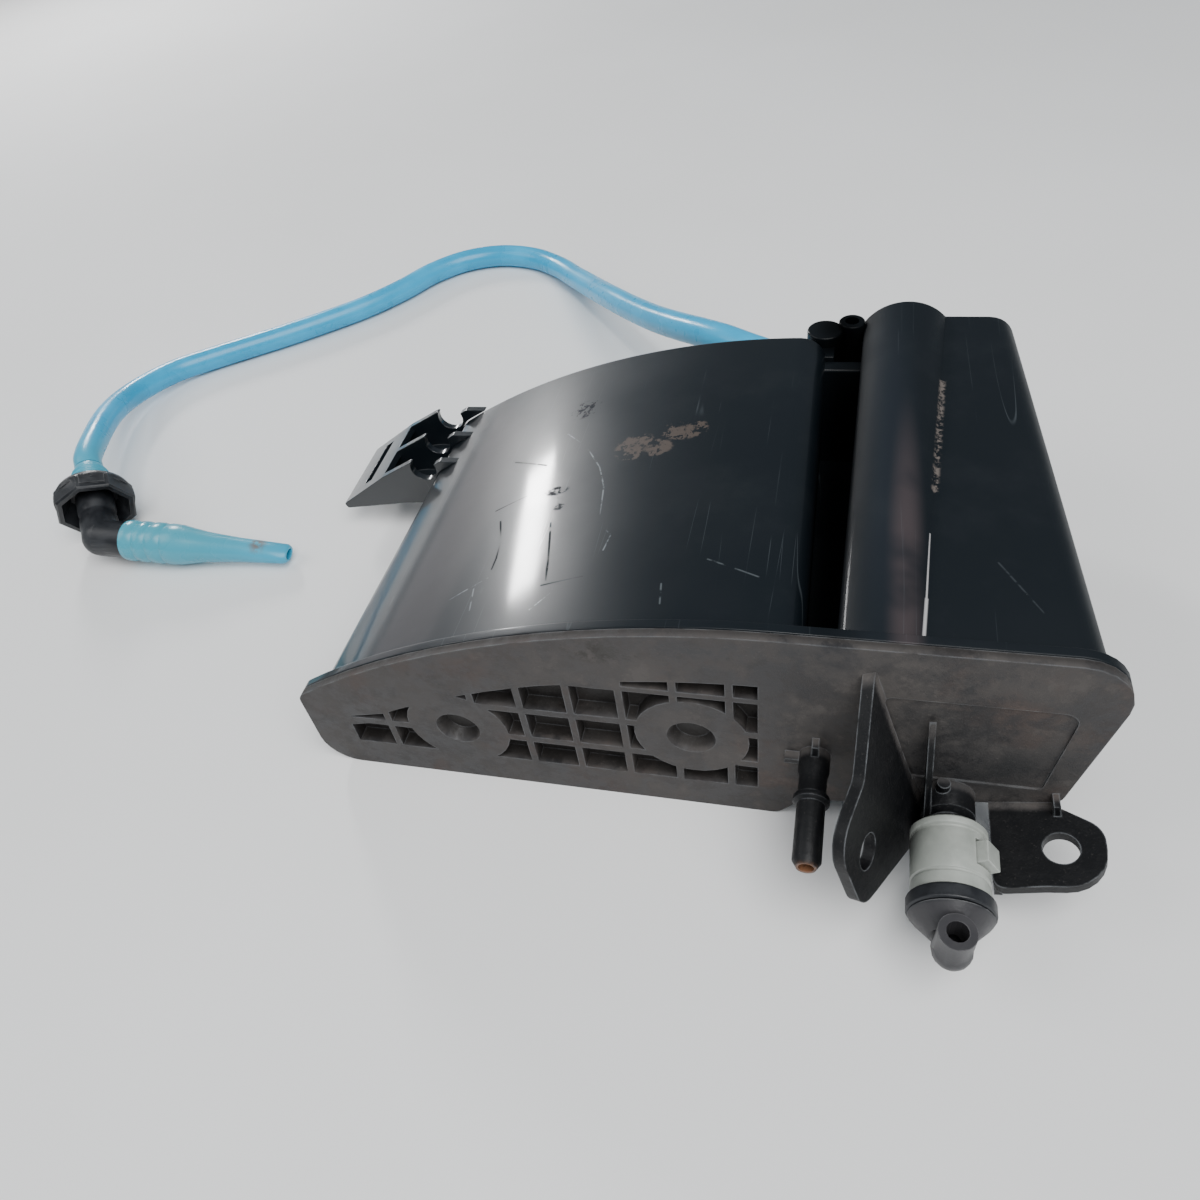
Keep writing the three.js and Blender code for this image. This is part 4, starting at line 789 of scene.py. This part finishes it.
def housing():
    tower_x, tower_y = PORT_TOWER
    air_x, air_y = FRESH_AIR_TOWER
    spigot_aim = Vector(SPIGOT_DIRECTION).to_track_quat("Y", "Z").to_matrix().to_4x4()
    spigot_turn = Matrix.Translation(SPIGOT_START) @ spigot_aim
    spigot_bore = SPIGOT_RADIUS - SPIGOT_WALL
    groove_left = MAIN_RIGHT - WEB_OVERLAP[0]
    groove_right = VENT_LEFT + WEB_OVERLAP[1]
    groove_end = MAIN_DEPTH - FOOT_LENGTH
    groove_foot = STEP_HEIGHT + FLANGE_OVERHANG + DRAFT_INSET
    outside = [
        main_lobe(0, MOUTH, MAIN_DEPTH, FAR_FILLET),
        vent_lobe(0, MOUTH, VENT_DEPTH, FAR_FILLET),
        boxed((groove_left, MOUTH, groove_foot), (groove_right, groove_end - 1, GROOVE_FLOOR), 1),
        boxed(
            (groove_left, groove_end - GROOVE_END_WALL, groove_foot),
            (groove_right, groove_end, GROOVE_END_TOP),
            1,
        ),
        boxed(
            (FLANGE_LEFT + 3 * LEFT_CORNER, MAIN_DEPTH - 2 * FOOT_LENGTH, 0),
            (MAIN_RIGHT - LOBE_CORNER, MAIN_DEPTH - FOOT_LENGTH, FOOT_HEIGHT),
            0.6,
        ),
        upright(PORT_TOWER_RADIUS, PORT_TOWER_FOOT, PORT_TOWER_TOP, PORT_TOWER),
        boxed(
            (tower_x - TOWER_WEB, MAIN_DEPTH - TOWER_WEB, PORT_TOWER_FOOT),
            (tower_x + TOWER_WEB, tower_y, PORT_TOWER_TOP - TOWER_WEB),
            0.5,
        ),
        upright(FRESH_AIR_RADIUS, PORT_TOWER_FOOT, PORT_TOWER_TOP + 1.5, FRESH_AIR_TOWER),
        boxed(
            (tower_x, air_y - AIR_WEB, PORT_TOWER_FOOT),
            (air_x + 8, air_y + AIR_WEB, PORT_TOWER_TOP - 2 * AIR_WEB),
            0.5,
        ),
        turned(
            [(0, 0), (SPIGOT_RADIUS, 0), (SPIGOT_RADIUS, SPIGOT_LENGTH), (0, SPIGOT_LENGTH)],
            40,
            spigot_turn,
        ),
    ]
    hollows = [
        main_lobe(WALL, MOUTH - 1, MAIN_DEPTH - WALL, FAR_FILLET / 2),
        vent_lobe(WALL, MOUTH - 1, VENT_DEPTH - WALL, FAR_FILLET / 2),
        turned([(spigot_bore, 4), (spigot_bore, SPIGOT_LENGTH + 1)], 24, spigot_turn),
        turned(
            [(FRESH_AIR_BORE, PORT_TOWER_FOOT + 6), (FRESH_AIR_BORE, PORT_TOWER_TOP + 3)],
            24,
            Matrix.Translation((air_x, air_y, 0)) @ Matrix.Rotation(math.pi / 2, 4, "X"),
        ),
    ]
    whole = combined(rim_plate(MOUTH, MOUTH + FLANGE_DEPTH), outside, "UNION")
    whole = combined(whole, hollows, "DIFFERENCE")
    whole.transform(TO_FRAME)
    shaded(whole, 34)
    thing = as_object("housing_shell", whole, "tub", "canister", "housing")
    thing.modifiers.new("normals", "WEIGHTED_NORMAL").keep_sharp = True


# ---------------------------------------------------------------- hose
def centripetal(points, steps):
    """Points along a centripetal Catmull-Rom curve through the given ones."""
    padded = [points[0] * 2 - points[1], *points, points[-1] * 2 - points[-2]]
    found = []
    for p0, p1, p2, p3 in zip(padded, padded[1:], padded[2:], padded[3:]):
        t0, t1 = 0.0, math.sqrt((p1 - p0).length)
        t2 = t1 + math.sqrt((p2 - p1).length)
        t3 = t2 + math.sqrt((p3 - p2).length)
        for s in range(steps):
            t = t1 + (t2 - t1) * s / steps
            a1 = p0 * ((t1 - t) / (t1 - t0)) + p1 * ((t - t0) / (t1 - t0))
            a2 = p1 * ((t2 - t) / (t2 - t1)) + p2 * ((t - t1) / (t2 - t1))
            a3 = p2 * ((t3 - t) / (t3 - t2)) + p3 * ((t - t2) / (t3 - t2))
            b1 = a1 * ((t2 - t) / (t2 - t0)) + a2 * ((t - t0) / (t2 - t0))
            b2 = a2 * ((t3 - t) / (t3 - t1)) + a3 * ((t - t1) / (t3 - t1))
            found.append(b1 * ((t2 - t) / (t2 - t1)) + b2 * ((t - t1) / (t2 - t1)))
    found.append(points[-1].copy())
    return found


def hose():
    route = [Vector(p) for p in HOSE_ROUTE]
    end = SLEEVE_BACK + GAP
    for back in (end + HOSE_RADIUS, end + 1, end):
        route.append(END_CORNER - END_AXIS * back)
    line = [TO_FRAME @ p for p in centripetal(route, 8)]
    length = sum((b - a).length for a, b in zip(line, line[1:]))
    data = bpy.data.curves.new("hose_line", "CURVE")
    data.dimensions = "3D"
    spline = data.splines.new("POLY")
    spline.points.add(len(line) - 1)
    for point, place in zip(spline.points, line):
        point.co = (*place, 1)
    spline.use_smooth = True
    data.bevel_depth = HOSE_RADIUS * MM
    data.bevel_resolution = 8
    data.use_fill_caps = True
    thing = bpy.data.objects.new("vapour_hose", data)
    bpy.context.scene.collection.objects.link(thing)
    data.materials.append(MATERIALS["blue"])
    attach(thing, "canister")
    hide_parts("hose")
    return thing, line, length


# ---------------------------------------------------------------- the object
housing()
vapour_hose, hose_line, hose_length = hose()
for node, part in frame["nodes"].items():
    part.data.materials.clear()
    part.data.materials.append(MATERIALS[SLOT_OF[node]])
    shaded(part.data)
copy_of("lid", 0.35)
copy_of("pipe_comb", 0.4)
copy_of("connector_body", 0.25, body="connector")
copy_of("release_button", 0.4, body="button")
copy_of("connector_collar", 0.3, body="connector")
copy_of("connector_elbow", 0.3, body="connector")
sleeve = copy_of("hose_sleeve", 0.2)
cap = copy_of("end_cap", 0.4)
elbow = copy_of("end_elbow", 0.3)
tail = copy_of("tail_tube", 0.3)
spring("main_spring_left")
spring("main_spring_right")
spring("vent_spring")


# ---------------------------------------------------------------- floor and light
def make_floor():
    work = bmesh.new()
    bmesh.ops.create_grid(work, x_segments=1, y_segments=1, size=4)
    mesh = bpy.data.meshes.new("floor")
    work.to_mesh(mesh)
    work.free()
    floor = bpy.data.objects.new("floor", mesh)
    bpy.context.scene.collection.objects.link(floor)
    s = Surface("floor_paper")
    tone = s.mix(s.span(s.noise(3, 3), 0.3, 0.7), (0.82, 0.82, 0.81), (0.86, 0.86, 0.855))
    mesh.materials.append(s.set(Base_Color=tone, Roughness=0.9))


def area_light(name, place, target, width, height, power, colour=(1, 1, 1), turn=0):
    data = bpy.data.lights.new(name, "AREA")
    data.shape = "RECTANGLE"
    data.size = width
    data.size_y = height
    data.energy = power
    data.color = colour
    light = bpy.data.objects.new(name, data)
    light.location = place
    aim = (Vector(target) - Vector(place)).to_track_quat("-Z", "Y").to_matrix()
    light.rotation_euler = (aim @ Matrix.Rotation(math.radians(turn), 3, "Z")).to_euler()
    bpy.context.scene.collection.objects.link(light)


def make_light():
    area_light("top_soft", (0.5, -0.7, 1.5), (0, 0, 0), 1.4, 1.4, 38)
    area_light("left_soft", (-1.3, -0.3, 1.2), (0, 0, 0), 1.0, 1.0, 8)
    area_light("window", (-0.97, 1.06, 0.55), (-0.03, 0, 0.064), 0.1, 0.28, 8.5, turn=-36)
    area_light("warm_wall", (-1.31, 0.92, 0.2), (-0.06, 0.05, 0.05), 0.9, 0.3, 0.45, (1, 0.86, 0.84))
    world = bpy.data.worlds.new("studio")
    bpy.context.scene.world = world
    world.use_nodes = True
    world.node_tree.nodes["Background"].inputs["Color"].default_value = (0.55, 0.62, 0.7, 1)
    world.node_tree.nodes["Background"].inputs["Strength"].default_value = 0.35


make_floor()
make_light()
